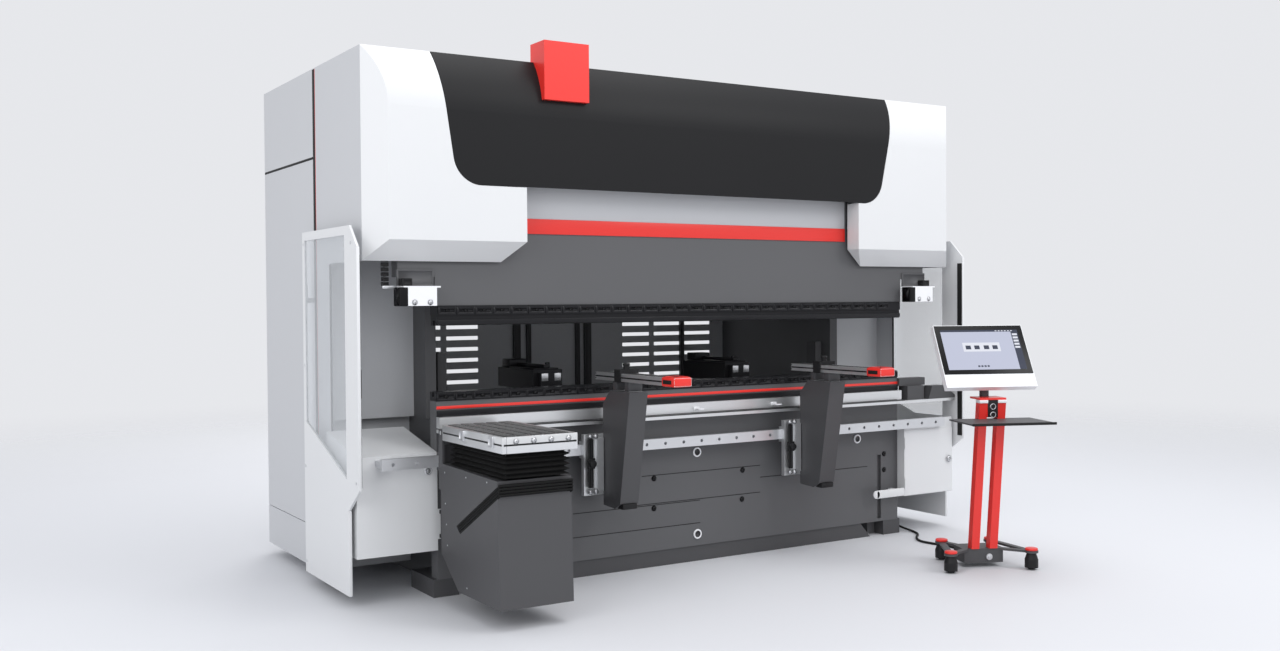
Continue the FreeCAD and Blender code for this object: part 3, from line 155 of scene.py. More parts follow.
def finish(name, colour, gloss=0.4, metallic=0.0, contrast=0.06, tone_scale=1.6, spread=0.08,
           stretch=(1, 1, 1), grain=500.0, strength=0.08, depth=0.0004, coat=0.0, sheen=0.0, alpha=1.0):
    """A coated, moulded or machined finish with its own tone and grain."""
    material = bpy.data.materials.new(name)
    material.use_nodes = True
    nodes, link = material.node_tree.nodes, material.node_tree.links.new
    shader = nodes["Principled BSDF"]
    tone, skin = nodes.new("ShaderNodeGroup"), nodes.new("ShaderNodeGroup")
    tone.node_tree, skin.node_tree = tone_group(), grain_group()
    set_inputs(tone, {"Colour": (*colour, 1), "Contrast": contrast, "Scale": tone_scale, "Gloss": gloss,
                      "Spread": spread})
    set_inputs(skin, {"Stretch": stretch, "Scale": grain, "Strength": strength, "Depth": depth})
    link(tone.outputs["Colour"], shader.inputs["Base Color"])
    link(tone.outputs["Roughness"], shader.inputs["Roughness"])
    link(skin.outputs["Normal"], shader.inputs["Normal"])
    set_inputs(shader, {"Metallic": metallic, "Coat Weight": coat, "Coat Roughness": 0.12, "Sheen Weight": sheen,
                        "Alpha": alpha})
    return material


def glowing(name, colour, strength):
    """A lit patch of the terminal's screen."""
    material = finish(name, [0.3 * c for c in colour], gloss=0.12, contrast=0.02)
    set_inputs(material.node_tree.nodes["Principled BSDF"],
               {"Emission Color": (*colour, 1), "Emission Strength": strength})
    return material


FINISHES = {}
BLACK_SHINE = 0.2


def make_finishes(colours):
    """Every finish of the machine, from the user's colours."""
    white, grey, red = tuple(colours.cover_white), tuple(colours.panel_grey), tuple(colours.signal_red)
    steel, dark, black = tuple(colours.machine_grey), tuple(colours.dark_grey), tuple(colours.hood_black)
    FINISHES.update({
        "cover_white": finish("Cover white enamel", white, gloss=0.34, contrast=0.03, strength=0.05, coat=0.15),
        "panel_grey": finish("Panel grey powder coat", grey, gloss=0.46, contrast=0.04, grain=900, strength=0.12),
        "hood_black": finish("Hood black satin", black, gloss=0.46, contrast=0.10, strength=0.05),
        "signal_red": finish("Signal red enamel", red, gloss=0.36, contrast=0.05, strength=0.05, coat=0.1),
        "machine_grey": finish("Machine grey texture paint", steel, gloss=0.52, contrast=0.08, grain=700,
                               strength=0.22),
        "dark_grey": finish("Dark grey texture paint", dark, gloss=0.5, contrast=0.10, grain=700, strength=0.25),
        "black_steel": finish("Black oxide steel", (0.018, 0.018, 0.02), gloss=0.32, metallic=0.3, contrast=0.3,
                              tone_scale=9, stretch=(0.02, 1, 1), grain=700, strength=0.12),
        "aluminium": finish("Anodised aluminium", (0.74, 0.75, 0.76), gloss=0.34, metallic=0.85, contrast=0.07,
                            tone_scale=5, stretch=(0.03, 1, 1), grain=900, strength=0.10),
        "bright_steel": finish("Ground steel", (0.66, 0.67, 0.69), gloss=0.3, metallic=0.8, contrast=0.08,
                               tone_scale=5, stretch=(0.03, 1, 1), grain=1100, strength=0.14),
        "black_plastic": finish("Black moulded plastic", (0.016, 0.016, 0.017), gloss=0.42, contrast=0.1,
                                grain=1200, strength=0.2),
        "white_plastic": finish("White moulded plastic", (0.84, 0.85, 0.87), gloss=0.3, contrast=0.03,
                                grain=1300, strength=0.08),
        "black_rubber": finish("Black rubber", (0.014, 0.014, 0.014), gloss=0.62, contrast=0.12, grain=1000,
                               strength=0.2),
        "bellows_fabric": finish("Coated bellows cloth", (0.006, 0.006, 0.006), gloss=0.7, contrast=0.2,
                                 grain=1500, strength=0.35),
        "clear_pane": finish("Clear guard pane", (0.80, 0.83, 0.86), gloss=0.08, contrast=0.02, strength=0.02,
                             alpha=0.30),
        "brush": finish("Black brush bristles", (0.009, 0.009, 0.010), gloss=0.7, contrast=0.5, tone_scale=60,
                        stretch=(1, 1, 0.04), grain=900, strength=0.9, depth=0.002, sheen=0.3),
        "band_grey": finish("Ram band light grey", (0.50, 0.51, 0.53), gloss=0.42, contrast=0.05, strength=0.05),
        "glass_black": finish("Black display glass", (0.004, 0.004, 0.005), gloss=0.30, contrast=0.05,
                              strength=0.0),
        "button_metal": finish("Button metal", (0.6, 0.6, 0.62), gloss=0.25, metallic=0.9, contrast=0.05),
        "screen_blue": glowing("Screen pale blue", (0.62, 0.65, 0.80), 0.45),
        "screen_white": glowing("Screen white", (0.85, 0.87, 0.95), 0.50),
        "screen_ink": glowing("Screen dark blue", (0.05, 0.06, 0.10), 0.40),
    })
    for name in ("hood_black", "black_steel", "black_plastic", "black_rubber", "bellows_fabric", "brush",
                 "glass_black"):
        set_inputs(FINISHES[name].node_tree.nodes["Principled BSDF"], {"Specular IOR Level": BLACK_SHINE})


# ------------------------------------------------------------------ modelling helpers
def deselect():
    bpy.ops.object.select_all(action="DESELECT")


def pick(pieces):
    """Selects these pieces alone, the first one active."""
    deselect()
    for piece in pieces:
        piece.select_set(True)
    bpy.context.view_layer.objects.active = pieces[0]


def apply_place(piece):
    pick([piece])
    bpy.ops.object.transform_apply(location=True, rotation=True, scale=True)
    return piece


def soften(piece, width, segments=2, angle=35):
    """Rounds a piece's sharp edges."""
    pick([piece])
    modifier = piece.modifiers.new("Edge", "BEVEL")
    modifier.width = width
    modifier.segments = segments
    modifier.limit_method = "ANGLE"
    modifier.angle_limit = math.radians(angle)
    bpy.ops.object.modifier_apply(modifier=modifier.name)
    bpy.ops.object.shade_smooth_by_angle(angle=math.radians(40))
    return piece


def block(name, low, high, bevel=0.001, segments=2):
    """A block between two corners, with rounded edges."""
    deselect()
    middle = [(a + b) / 2 for a, b in zip(low, high)]
    bpy.ops.mesh.primitive_cube_add(size=1, location=middle)
    piece = bpy.context.object
    piece.name = name
    piece.scale = [b - a for a, b in zip(low, high)]
    apply_place(piece)
    return soften(piece, bevel, segments) if bevel else piece


TURNS = {"X": (0, math.pi / 2, 0), "Y": (math.pi / 2, 0, 0), "Z": (0, 0, 0)}


def drum(name, middle, radius, length, axis="Z", bevel=0.001, sides=32):
    """A round piece with rounded rims."""
    deselect()
    bpy.ops.mesh.primitive_cylinder_add(vertices=sides, radius=radius, depth=length, location=middle,
                                        rotation=TURNS[axis])
    piece = bpy.context.object
    piece.name = name
    apply_place(piece)
    return soften(piece, bevel) if bevel else piece


def ring(name, middle, radius, wire, axis="Y", sides=32):
    deselect()
    bpy.ops.mesh.primitive_torus_add(location=middle, rotation=TURNS[axis], major_radius=radius,
                                     minor_radius=wire, major_segments=sides, minor_segments=10)
    piece = bpy.context.object
    piece.name = name
    apply_place(piece)
    bpy.ops.object.shade_smooth()
    return piece


def facing(piece, normal, level=0.9):
    """Selects the faces that look along a direction, in edit mode."""
    pick([piece])
    bpy.ops.object.mode_set(mode="EDIT")
    bpy.ops.mesh.select_all(action="DESELECT")
    bpy.ops.object.mode_set(mode="OBJECT")
    direction = Vector(normal)
    for face in piece.data.polygons:
        face.select = face.normal.dot(direction) > level
    bpy.ops.object.mode_set(mode="EDIT")
    bpy.ops.mesh.select_mode(type="FACE")


def recess(piece, normal, margin, depth):
    """Sinks the faces that look along a direction, leaving a rim."""
    facing(piece, normal)
    bpy.ops.mesh.inset(thickness=margin, depth=0)
    bpy.ops.mesh.inset(thickness=abs(depth) * 0.4, depth=-depth)
    bpy.ops.object.mode_set(mode="OBJECT")
    return piece


def row(piece, count, step):
    """A row of copies of one piece."""
    pick([piece])
    modifier = piece.modifiers.new("Row", "ARRAY")
    modifier.count = count
    modifier.use_relative_offset = False
    modifier.use_constant_offset = True
    modifier.constant_offset_displace = step
    bpy.ops.object.modifier_apply(modifier=modifier.name)
    return piece


def merge(name, pieces):
    pick(pieces)
    bpy.ops.object.join()
    piece = bpy.context.object
    piece.name = name
    return piece


def put_in(piece, matrix):
    """Moves a piece from its own drawing into a turned frame of the machine."""
    piece.matrix_world = matrix
    return apply_place(piece)


def span(side, inner, outer):
    """The two X of a piece on the left (-1) or right (1) half of the machine, the lower one first."""
    return sorted((side * inner, side * outer))


def fit(piece, finish_name, body):
    """Gives a finished piece its finish and the body that it rides on."""
    piece.data.materials.clear()
    piece.data.materials.append(FINISHES[finish_name])
    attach(piece, body)
    return piece


def screw(name, x, y, z, radius=0.008):
    """A socket screw head that looks to the front."""
    head = drum(name, (x, y - 0.002, z), radius, 0.004, "Y", 0.0008, 20)
    facing(head, (0, -1, 0))
    bpy.ops.mesh.inset(thickness=radius * 0.45, depth=0)
    bpy.ops.mesh.inset(thickness=0.0003, depth=-0.002)
    bpy.ops.object.mode_set(mode="OBJECT")
    return head


# ------------------------------------------------------------------ properties
def colour_property(name, description, default):
    return bpy.props.FloatVectorProperty(name=name, description=description, subtype="COLOR", default=default)


def length_property(name, description, default):
    return bpy.props.FloatProperty(name=name, description=description, default=default, unit="LENGTH")


class PressBrakeColours(bpy.types.PropertyGroup):
    """Colours of the machine's coatings."""

    cover_white: colour_property("Covers", "Enamel of the front covers", (0.72, 0.73, 0.74))
    panel_grey: colour_property("Panels", "Powder coat of the side panels", (0.56, 0.57, 0.59))
    hood_black: colour_property("Hood", "Satin coat of the hood", (0.010, 0.010, 0.011))
    signal_red: colour_property("Accents", "Red of the badge, stripe and stand", (0.80, 0.030, 0.022))
    machine_grey: colour_property("Beams", "Paint of the ram and the lower beam", (0.098, 0.099, 0.104))
    dark_grey: colour_property("Attachments", "Paint of the supports and the follower", (0.062, 0.062, 0.066))


class PressBrakeSizes(bpy.types.PropertyGroup):
    """Sizes of the trims that are added to the machine."""

    stripe_low: length_property("Stripe height", "Lower edge of the red stripe on the ram", 1.824)
    stripe_width: length_property("Stripe width", "Width of the red stripe on the ram", 0.078)
    clamp_pitch: length_property("Clamp pitch", "Distance between the tool clamps", 0.100)
    cable_diameter: length_property("Cable", "Diameter of the terminal's cable", 0.014)


class PressBrakeStage(bpy.types.PropertyGroup):
    """Stage of the machine."""

    floor_tone: colour_property("Floor", "Colour of the floor", (0.67, 0.68, 0.71))
    backdrop_tone: colour_property("Backdrop", "Colour of the backdrop", (0.82, 0.83, 0.86))
    light_level: bpy.props.FloatProperty(
        name="Light", description="Level of the studio lights", default=1.0, min=0.0)


# ------------------------------------------------------------------ operators
class PRESS_OT_camera(bpy.types.Operator):
    """Sets up the camera in front of the machine's left corner"""
    bl_idname = "press_brake.camera"
    bl_label = "Camera"

    def execute(self, context):
        data = bpy.data.cameras.new("Front left camera")
        data.lens = 35
        data.sensor_width = 36
        data.clip_end = 200
        camera = bpy.data.objects.new("Front left camera", data)
        context.scene.collection.objects.link(camera)
        camera.location = (-3.9566, -5.8035, 1.4787)
        down, heading, roll = math.radians(1.17), math.radians(-31.93), math.radians(-0.38)
        aim = Euler((math.pi / 2 - down, 0, heading)).to_quaternion()
        camera.rotation_mode = "QUATERNION"
        camera.rotation_quaternion = aim @ Quaternion((0, 0, 1), roll)
        context.scene.camera = camera
        return {"FINISHED"}


class PRESS_OT_finishes(bpy.types.Operator):
    """Makes the finishes and gives each of the machine's parts its own"""
    bl_idname = "press_brake.finishes"
    bl_label = "Finishes"

    def execute(self, context):
        make_finishes(context.scene.press_brake_colours)
        for part in frame["record"]["subparts"]:
            piece = frame["nodes"][part["node"]]
            piece.data.materials.clear()
            piece.data.materials.append(FINISHES[part["material_slot"]])
        return {"FINISHED"}


class PRESS_OT_cable(bpy.types.Operator):
    """Lays the terminal's cable over the floor and adds its strain reliefs"""
    bl_idname = "press_brake.cable"
    bl_label = "Terminal cable"

    def execute(self, context):
        diameter = context.scene.press_brake_sizes.cable_diameter
        gland = (0, 0.091, 0.060)
        inlet, lead = STAND @ Vector(gland), STAND @ Vector((0, 0.151, 0.060))
        route = [(1.470, 0.200, 0.120), (1.548, 0.200, 0.120), (1.612, 0.150, 0.076), (1.638, 0.062, 0.022),
                 (1.648, -0.052, 0.0075), (1.606, -0.152, 0.0075), (1.506, -0.226, 0.0075),
                 (1.446, -0.322, 0.0075), (1.462, -0.430, 0.0075), (1.488, -0.542, 0.0075),
                 (1.452, -0.646, 0.0075), (1.376, -0.724, 0.018), tuple(lead), tuple(inlet)]
        data = bpy.data.curves.new("Terminal_cable", "CURVE")
        data.dimensions = "3D"
        data.bevel_depth = diameter / 2
        data.bevel_resolution = 4
        data.resolution_u = 12
        data.use_fill_caps = True
        spline = data.splines.new("NURBS")
        spline.points.add(len(route) - 1)
        for point, place in zip(spline.points, route):
            point.co = (*place, 1)
        spline.order_u = 3
        spline.use_endpoint_u = True
        cable = bpy.data.objects.new("Terminal_cable", data)
        context.scene.collection.objects.link(cable)
        data.materials.append(FINISHES["black_rubber"])
        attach(cable, "machine")
        ends = (("Machine_strain_relief", Matrix.Translation(route[0]) @ Matrix.Rotation(math.pi / 2, 4, "Y")),
                ("Stand_strain_relief", STAND @ Matrix.Translation(gland) @ Matrix.Rotation(-math.pi / 2, 4, "X")))
        for name, matrix in ends:
            deselect()
            bpy.ops.mesh.primitive_cone_add(vertices=28, radius1=0.0125, radius2=0.0082, depth=0.036,
                                            location=(0, 0, 0.018))
            relief = bpy.context.object
            relief.name = name
            apply_place(relief)
            soften(relief, 0.001)
            put_in(relief, matrix)
            fit(relief, "black_rubber", "machine")
        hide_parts("terminal_cable")
        return {"FINISHED"}


class PRESS_OT_ram_trims(bpy.types.Operator):
    """Adds the light band, the red stripe and the tool clamps of the ram"""
    bl_idname = "press_brake.ram_trims"
    bl_label = "Ram trims"

    def execute(self, context):
        sizes = context.scene.press_brake_sizes
        front = RAM[0][1]
        stripe_top = sizes.stripe_low + sizes.stripe_width
        band = block("Ram_light_band", (-1.1, front - 0.004, stripe_top), (1.1, front, RAM[1][2] - 0.002), 0.0015)
        fit(band, "band_grey", "ram")
        stripe = block("Ram_red_stripe", (-1.1, front - 0.007, sizes.stripe_low), (1.1, front, stripe_top), 0.002)
        fit(stripe, "signal_red", "ram")
        low, high = CLAMP
        count = int((high[0] - low[0]) / sizes.clamp_pitch)
        wedge = block("Clamp_wedges", (low[0] + 0.001, low[1] - 0.005, low[2] + 0.054),
                      (low[0] + sizes.clamp_pitch - 0.001, low[1], high[2] - 0.004), 0.0015)
        recess(wedge, (0, -1, 0), 0.014, 0.001)
        fit(row(wedge, count, (sizes.clamp_pitch, 0, 0)), "black_steel", "ram")
        bolt = screw("Clamp_bolts", low[0] + sizes.clamp_pitch / 2, low[1] - 0.002, low[2] + 0.074, 0.004)
        fit(row(bolt, count, (sizes.clamp_pitch, 0, 0)), "black_plastic", "ram")
        lip = block("Clamp_lip", (low[0], low[1] - 0.002, low[2] + 0.004), (high[0], low[1] + 0.008, low[2] + 0.030),
                    0.003)
        fit(lip, "black_steel", "ram")
        return {"FINISHED"}


class PRESS_OT_sensors(bpy.types.Operator):
    """Adds the windows, brackets and adjusters of the light beam units, and the cable chain on the left"""
    bl_idname = "press_brake.sensors"
    bl_label = "Light beam units"

    def execute(self, context):
        front = RAM[0][1]
        low, top = 1.5545, 1.637
        for side, name, left, right in ((-1, "Left", -1.782, -1.738), (1, "Right", 1.548, 1.592)):
            cap = block(name + "_beam_window", (left, -0.142, 1.456), (right, -0.068, 1.548), 0.004, 3)
            recess(cap, (-1, 0, 0), 0.008, 0.003)
            fit(cap, "glass_black", "ram")
            bolts = row(screw(name + "_beam_bolts", side * 1.625, -0.14, 1.475, 0.005), 2, (side * 0.08, 0, 0))
            fit(bolts, "bright_steel", "ram")
            x0, x1 = span(side, 1.5690, 1.7610)
            plate = block(name + "_beam_bracket", (x0, front - 0.0092, low), (x1, front - 0.001, top), 0.001)
            fit(recess(plate, (0, -1, 0), 0.010, 0.001), "machine_grey", "ram")
            x0, x1 = span(side, 1.700, 1.752)
            lump = block(name + "_beam_adjuster", (x0, front - 0.060, low), (x1, front - 0.0095, 1.592), 0.003)
            fit(recess(lump, (0, -1, 0), 0.007, 0.003), "black_plastic", "ram")
        link = block("Cable_chain", (-1.832, -0.050, 1.555), (-1.800, -0.020, 1.575), 0.003)
        recess(link, (0, -1, 0), 0.005, 0.003)
        fit(row(link, 14, (0, 0, 0.0235)), "black_plastic", "ram")
        arm = block("Cable_chain_bracket", (-1.834, -0.052, 1.542), (-1.75, -0.046, 1.556), 0.001)
        fit(arm, "bright_steel", "ram")
        return {"FINISHED"}


class PRESS_OT_table_trims(bpy.types.Operator):
    """Adds the red strip, the lower tool clamps, the dark seams and the hooks of the table"""
    bl_idname = "press_brake.table_trims"
    bl_label = "Table trims"

    def execute(self, context):
        front = BED[0][1]
        count, pitch = 31, 0.1
        strip = block("Table_red_strip", (-1.55, front - 0.004, 0.941), (1.55, front, 0.956), 0.0015)
        fit(strip, "signal_red", "machine")
        seam = block("Table_dark_seam", (-1.55, front - 0.010, 0.904), (1.55, front, 0.934), 0.002)
        fit(seam, "black_steel", "machine")
        clamp = block("Table_clamps", (-1.549, front - 0.008, 0.984), (-1.451, front, 1.020), 0.0015)
        recess(clamp, (0, -1, 0), 0.010, 0.001)
        fit(row(clamp, count, (pitch, 0, 0)), "black_steel", "machine")
        bolt = screw("Table_clamp_bolts", -1.5, front - 0.006, 1.002, 0.004)
        fit(row(bolt, count, (pitch, 0, 0)), "black_plastic", "machine")
        track = block("Cable_track", (-1.548, -0.102, 0.8415), (1.54, -0.062, 0.846), 0.001)
        fit(track, "black_plastic", "machine")
        for i, x in enumerate((0.0, 0.548)):
            hook = ring("Table_hook_%d" % (i + 1), (x, -0.088, 0.868), 0.020, 0.004, "Z", 28)
            pick([hook])
            bpy.ops.object.mode_set(mode="EDIT")
            bpy.ops.mesh.select_all(action="SELECT")
            bpy.ops.mesh.bisect(plane_co=(x, -0.088, 0.868), plane_no=(1, 0.6, 0), clear_outer=True, use_fill=True)
            bpy.ops.object.mode_set(mode="OBJECT")
            pad = block("Hook_pad_%d" % (i + 1), (x - 0.03, -0.064, 0.860), (x + 0.01, -0.060, 0.880), 0.0015)
            fit(merge("Table_hook_%d" % (i + 1), [hook, pad]), "white_plastic", "machine")
        return {"FINISHED"}


class PRESS_OT_bed_trims(bpy.types.Operator):
    """Adds the seams, the round covers and the screws of the lower beam"""
    bl_idname = "press_brake.bed_trims"
    bl_label = "Lower beam trims"

    def execute(self, context):
        front = BED[0][1]
        seams = []
        for i, (x0, x1, z) in enumerate(((-0.348, 0.467, 0.510), (-0.463, 0.466, 0.353), (-0.780, 0.040, 0.345),
                                         (-0.780, 0.040, 0.217), (0.467, 1.30, 0.440))):
            seams.append(block("Seam_%d" % i, (x0, front - 0.0012, z - 0.002), (x1, front, z + 0.002), 0.0005, 1))
        fit(merge("Bed_seams", seams), "black_plastic", "machine")
        rings, plugs = [], []
        for i, (x, z) in enumerate(((-1.150, 0.617), (0.020, 0.619), (1.216, 0.616), (0.020, 0.155))):
            rings.append(ring("Ring_%d" % i, (x, front - 0.003, z), 0.023, 0.005, "Y", 32))
            plug = drum("Plug_%d" % i, (x, front - 0.002, z), 0.020, 0.004, "Y", 0.001, 28)
            plugs.append(recess(plug, (0, -1, 0), 0.004, 0.001))
        fit(merge("Bed_cover_rings", rings), "white_plastic", "machine")
        fit(merge("Bed_cover_plugs", plugs), "dark_grey", "machine")
        heads = [screw("Bed_screw_%d" % i, x, front, z, 0.007) for i, (x, z) in enumerate(
            ((-0.269, 0.493), (0.339, 0.492), (-0.270, 0.327), (0.334, 0.324), (1.437, 0.509), (1.437, 0.409)))]
        fit(merge("Bed_screws", heads), "black_plastic", "machine")
        return {"FINISHED"}


class PRESS_OT_supports(bpy.types.Operator):
    """Adds the red tips, pads, post covers, slots, knobs and slides of the two front supports"""
    bl_idname = "press_brake.supports"
    bl_label = "Front supports"

    def execute(self, context):
        for side in ("left", "right"):
            low, high = ARMS[side]
            x0, x1 = low[0], high[0]
            middle = (x0 + x1) / 2
            column, carriage = side + "_column", side + "_support"
            top, under, tip_back = high[2], high[2] - 0.040, low[1] + 0.112
            tip = block(side + "_arm_tip", (x0 - 0.003, low[1] - 0.001, under - 0.003),
                        (x1 + 0.003, tip_back, top + 0.003), 0.008, 3)
            recess(tip, (0, 0, 1), 0.014, 0.002)
            fit(tip, "signal_red", column)
            pads = [block("Pad_0", (x0 + 0.018, low[1] + 0.018, top + 0.001),
                          (x1 - 0.018, low[1] + 0.098, top + 0.005), 0.002)]
            for i, x in enumerate((x0 - 0.0045, x1 + 0.0015)):
                pads.append(block("Pad_%d" % (i + 1), (x, low[1] + 0.022, under + 0.010),
                                  (x + 0.003, low[1] + 0.096, top - 0.010), 0.001))
            fit(merge(side + "_arm_tip_pads", pads), "black_rubber", column)
            covers = [block("Post_%d" % i, (x0 + 0.009, y, 1.0105), (x1 - 0.009, y + 0.042, 1.0595), 0.003)
                      for i, y in enumerate((-0.391, -0.271))]
            fit(merge(side + "_arm_post_covers", covers), "dark_grey", column)
            slot_end = high[1] - 0.002
            slots = [block("Slot_%d" % i, (x - 0.010, tip_back, top - 0.001), (x + 0.010, slot_end, top + 0.0002),
                           0.0001, 1) for i, x in enumerate((x0 + 0.025, middle, x1 - 0.025))]
            for i, x in enumerate((x0 - 0.0002, x1 - 0.0008)):
                slots.append(block("Side_slot_%d" % i, (x, tip_back, under + 0.016),
                                   (x + 0.001, slot_end, under + 0.024), 0.0001, 1))
            fit(merge(side + "_arm_slots", slots), "black_plastic", column)
            cap = block(side + "_arm_end_cap", (x0 + 0.001, high[1] - 0.001, under + 0.001),
                        (x1 - 0.001, high[1] + 0.003, top - 0.001), 0.001)
            fit(cap, "black_plastic", column)
            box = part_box(side + "_support_stop")
            handle = drum(side + "_stop_handle", (middle, (box[0][1] + box[1][1]) / 2, box[1][2] + 0.008), 0.019,
                          0.016, "Z", 0.003, 12)
            fit(handle, "black_plastic", side + "_stop")
            left, front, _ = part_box(side + "_support_carriage")[0]
            slide = block(side + "_slide", (left + 0.016, front - 0.010, 0.500), (left + 0.046, front, 0.756), 0.003)
            recess(slide, (0, -1, 0), 0.007, 0.004)
            knob = drum(side + "_slide_knob", (left + 0.031, front - 0.024, 0.628), 0.020, 0.028, "Y", 0.004, 12)
            block_top = block(side + "_slide_block", (left + 0.010, front - 0.014, 0.600),
                              (left + 0.054, front, 0.656), 0.003)
            fit(merge(side + "_slide", [slide, knob, block_top]), "black_plastic", carriage)
            heads = [screw("Head_%d" % i, left + x, front, z, 0.006) for i, (x, z) in enumerate(
                ((0.031, 0.478), (0.031, 0.768), (0.064, 0.478), (0.064, 0.768)))]
            fit(merge(side + "_carriage_screws", heads), "bright_steel", carriage)
            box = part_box(side + "_support_column")
            foot = block(side + "_column_foot", (box[0][0] + 0.012, -0.330, 0.3965),
                         (box[1][0] - 0.012, -0.275, 0.425), 0.004)
            fit(foot, "black_plastic", column)
        return {"FINISHED"}


class PRESS_OT_follower(bpy.types.Operator):
    """Adds the brushes, bars, rails, grooves and locks of the sheet follower's table"""
    bl_idname = "press_brake.follower"
    bl_label = "Sheet follower table"

    def execute(self, context):
        low, high = DECK
        x0, x1, y0, y1, top = low[0], high[0], low[1], -0.180, high[2]
        pitch = (x1 - x0 - 0.036) / 5
        brush = block("Follower_brushes", (x0 + 0.024, y0 + 0.030, top),
                      (x0 + 0.018 + pitch - 0.008, y1 - 0.006, top + 0.012), 0.002)
        fit(row(brush, 5, (pitch, 0, 0)), "brush", "follower_table")
        bar = block("Follower_table_bars", (x0 + 0.018 + pitch - 0.007, y0 + 0.006, top),
                    (x0 + 0.018 + pitch + 0.005, y1 - 0.002, top + 0.009), 0.001)
        bars = row(bar, 4, (pitch, 0, 0))
        under, over = low[2] - 0.002, top + 0.010
        runs = ((x0 - 0.003, x0 + 0.018, y0 - 0.003, y1), (x1 - 0.018, x1 + 0.003, y0 - 0.003, y1),
                (x0 + 0.018, x1 - 0.018, y0 - 0.006, y0 + 0.024))
        sides = [block("Rail_%d" % i, (left, front, under), (right, back, over), 0.002)
                 for i, (left, right, front, back) in enumerate(runs)]
        fit(merge("Follower_table_rails", [bars] + sides), "aluminium", "follower_table")
        under, over = top - 0.030, top - 0.022
        slots = [block("Front_groove", (x0 + 0.004, y0 - 0.0068, under), (x1 - 0.004, y0 - 0.004, over), 0.0006, 1),
                 block("Side_groove", (x0 - 0.0038, y0 + 0.004, under), (x0 - 0.001, y1 - 0.010, over), 0.0006, 1)]
        fit(merge("Follower_rail_grooves", slots), "black_plastic", "follower_table")
        locks = [screw("Lock_%d" % i, x0 + 0.062 + i * 0.088, y0 - 0.006, top - 0.010, 0.005) for i in range(4)]
        for i, y in enumerate((y0 + 0.080, y0 + 0.400)):
            clamp = block("Side_clamp_%d" % i, (x0 - 0.014, y, top - 0.044), (x0 - 0.002, y + 0.046, top + 0.006),
                          0.003)
            locks.append(recess(clamp, (-1, 0, 0), 0.008, 0.003))
        fit(merge("Follower_locks", locks), "bright_steel", "follower_table")
        return {"FINISHED"}


class PRESS_OT_bellows(bpy.types.Operator):
    """Makes the pleated bellows under the sheet follower's table"""
    bl_idname = "press_brake.bellows"
    bl_label = "Follower bellows"

    def execute(self, context):
        low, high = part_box("follower_bellows")
        folds = 5
        step = (high[2] - low[2]) / (2 * folds)
        middle = ((low[0] + high[0]) / 2, (low[1] + high[1]) / 2)
        deselect()
        bpy.ops.mesh.primitive_plane_add(size=1, location=(*middle, low[2]))
        piece = bpy.context.object
        piece.scale = (high[0] - low[0], high[1] - low[1], 1)
        apply_place(piece)
        bpy.ops.object.mode_set(mode="EDIT")
        bpy.ops.mesh.select_all(action="SELECT")
        bpy.ops.mesh.subdivide(number_cuts=3)
        narrow = (1 - 0.044 / (high[0] - low[0]), 1 - 0.044 / (high[1] - low[1]), 1)
        for i in range(2 * folds):
            bpy.ops.mesh.extrude_region_move(TRANSFORM_OT_translate={"value": (0, 0, step)})
            size = narrow if i % 2 == 0 else (1 / narrow[0], 1 / narrow[1], 1)
            bpy.ops.transform.resize(value=size, center_override=(*middle, low[2] + (i + 1) * step))
        bpy.ops.mesh.select_all(action="SELECT")
        bpy.ops.mesh.normals_make_consistent(inside=False)
        bpy.ops.object.mode_set(mode="OBJECT")
        piece.name = "Follower_bellows"
        soften(piece, 0.0012, 2, 30)
        piece.data.materials.append(FINISHES["bellows_fabric"])
        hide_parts("follower_bellows")
        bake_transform(piece)
        return {"FINISHED"}


class PRESS_OT_follower_case(bpy.types.Operator):
    """Adds the folded cloth in the slot and the rivets of the sheet follower's housing"""
    bl_idname = "press_brake.follower_case"
    bl_label = "Sheet follower housing"

    def execute(self, context):
        low, high = HOUSING
        lean, pitch, slot_top = math.radians(-28), 0.0125, 0.664
        turn = Matrix.Translation((0, -0.811, slot_top)) @ Matrix.Rotation(lean, 4, "X")
        folds = []
        for i in range(4):
            top = slot_top - i * pitch / math.cos(lean)
            folds.append(block("Front_fold_%d" % i, (low[0] - 0.0015, -0.8125, top - 0.0115),
                               (high[0] + 0.0015, -0.797, top - 0.0007), 0.0045))
            for x in (low[0] - 0.0015, high[0] - 0.0065):
                run = block("Side_fold_%d" % i, (x, 0.53 * pitch * (i + 1), 0.0004 - pitch * (i + 1)),
                            (x + 0.008, 0.534 - 0.0045 * i, -0.0004 - pitch * i), 0.0038)
                folds.append(put_in(run, turn))
        fit(merge("Follower_slot_folds", folds), "bellows_fabric", "follower")
        heads = []
        for i, (y, z) in enumerate(((-0.20, 0.650), (-0.45, 0.655), (-0.68, 0.660), (-0.205, 0.50), (-0.215, 0.40),
                                    (-0.225, 0.30), (-0.45, 0.135))):
            for x in (low[0], high[0]):
                heads.append(drum("Rivet_%d" % i, (x, y, z), 0.004, 0.003, "X", 0.0007, 16))
        fit(merge("Follower_case_rivets", heads), "bright_steel", "follower")
        return {"FINISHED"}


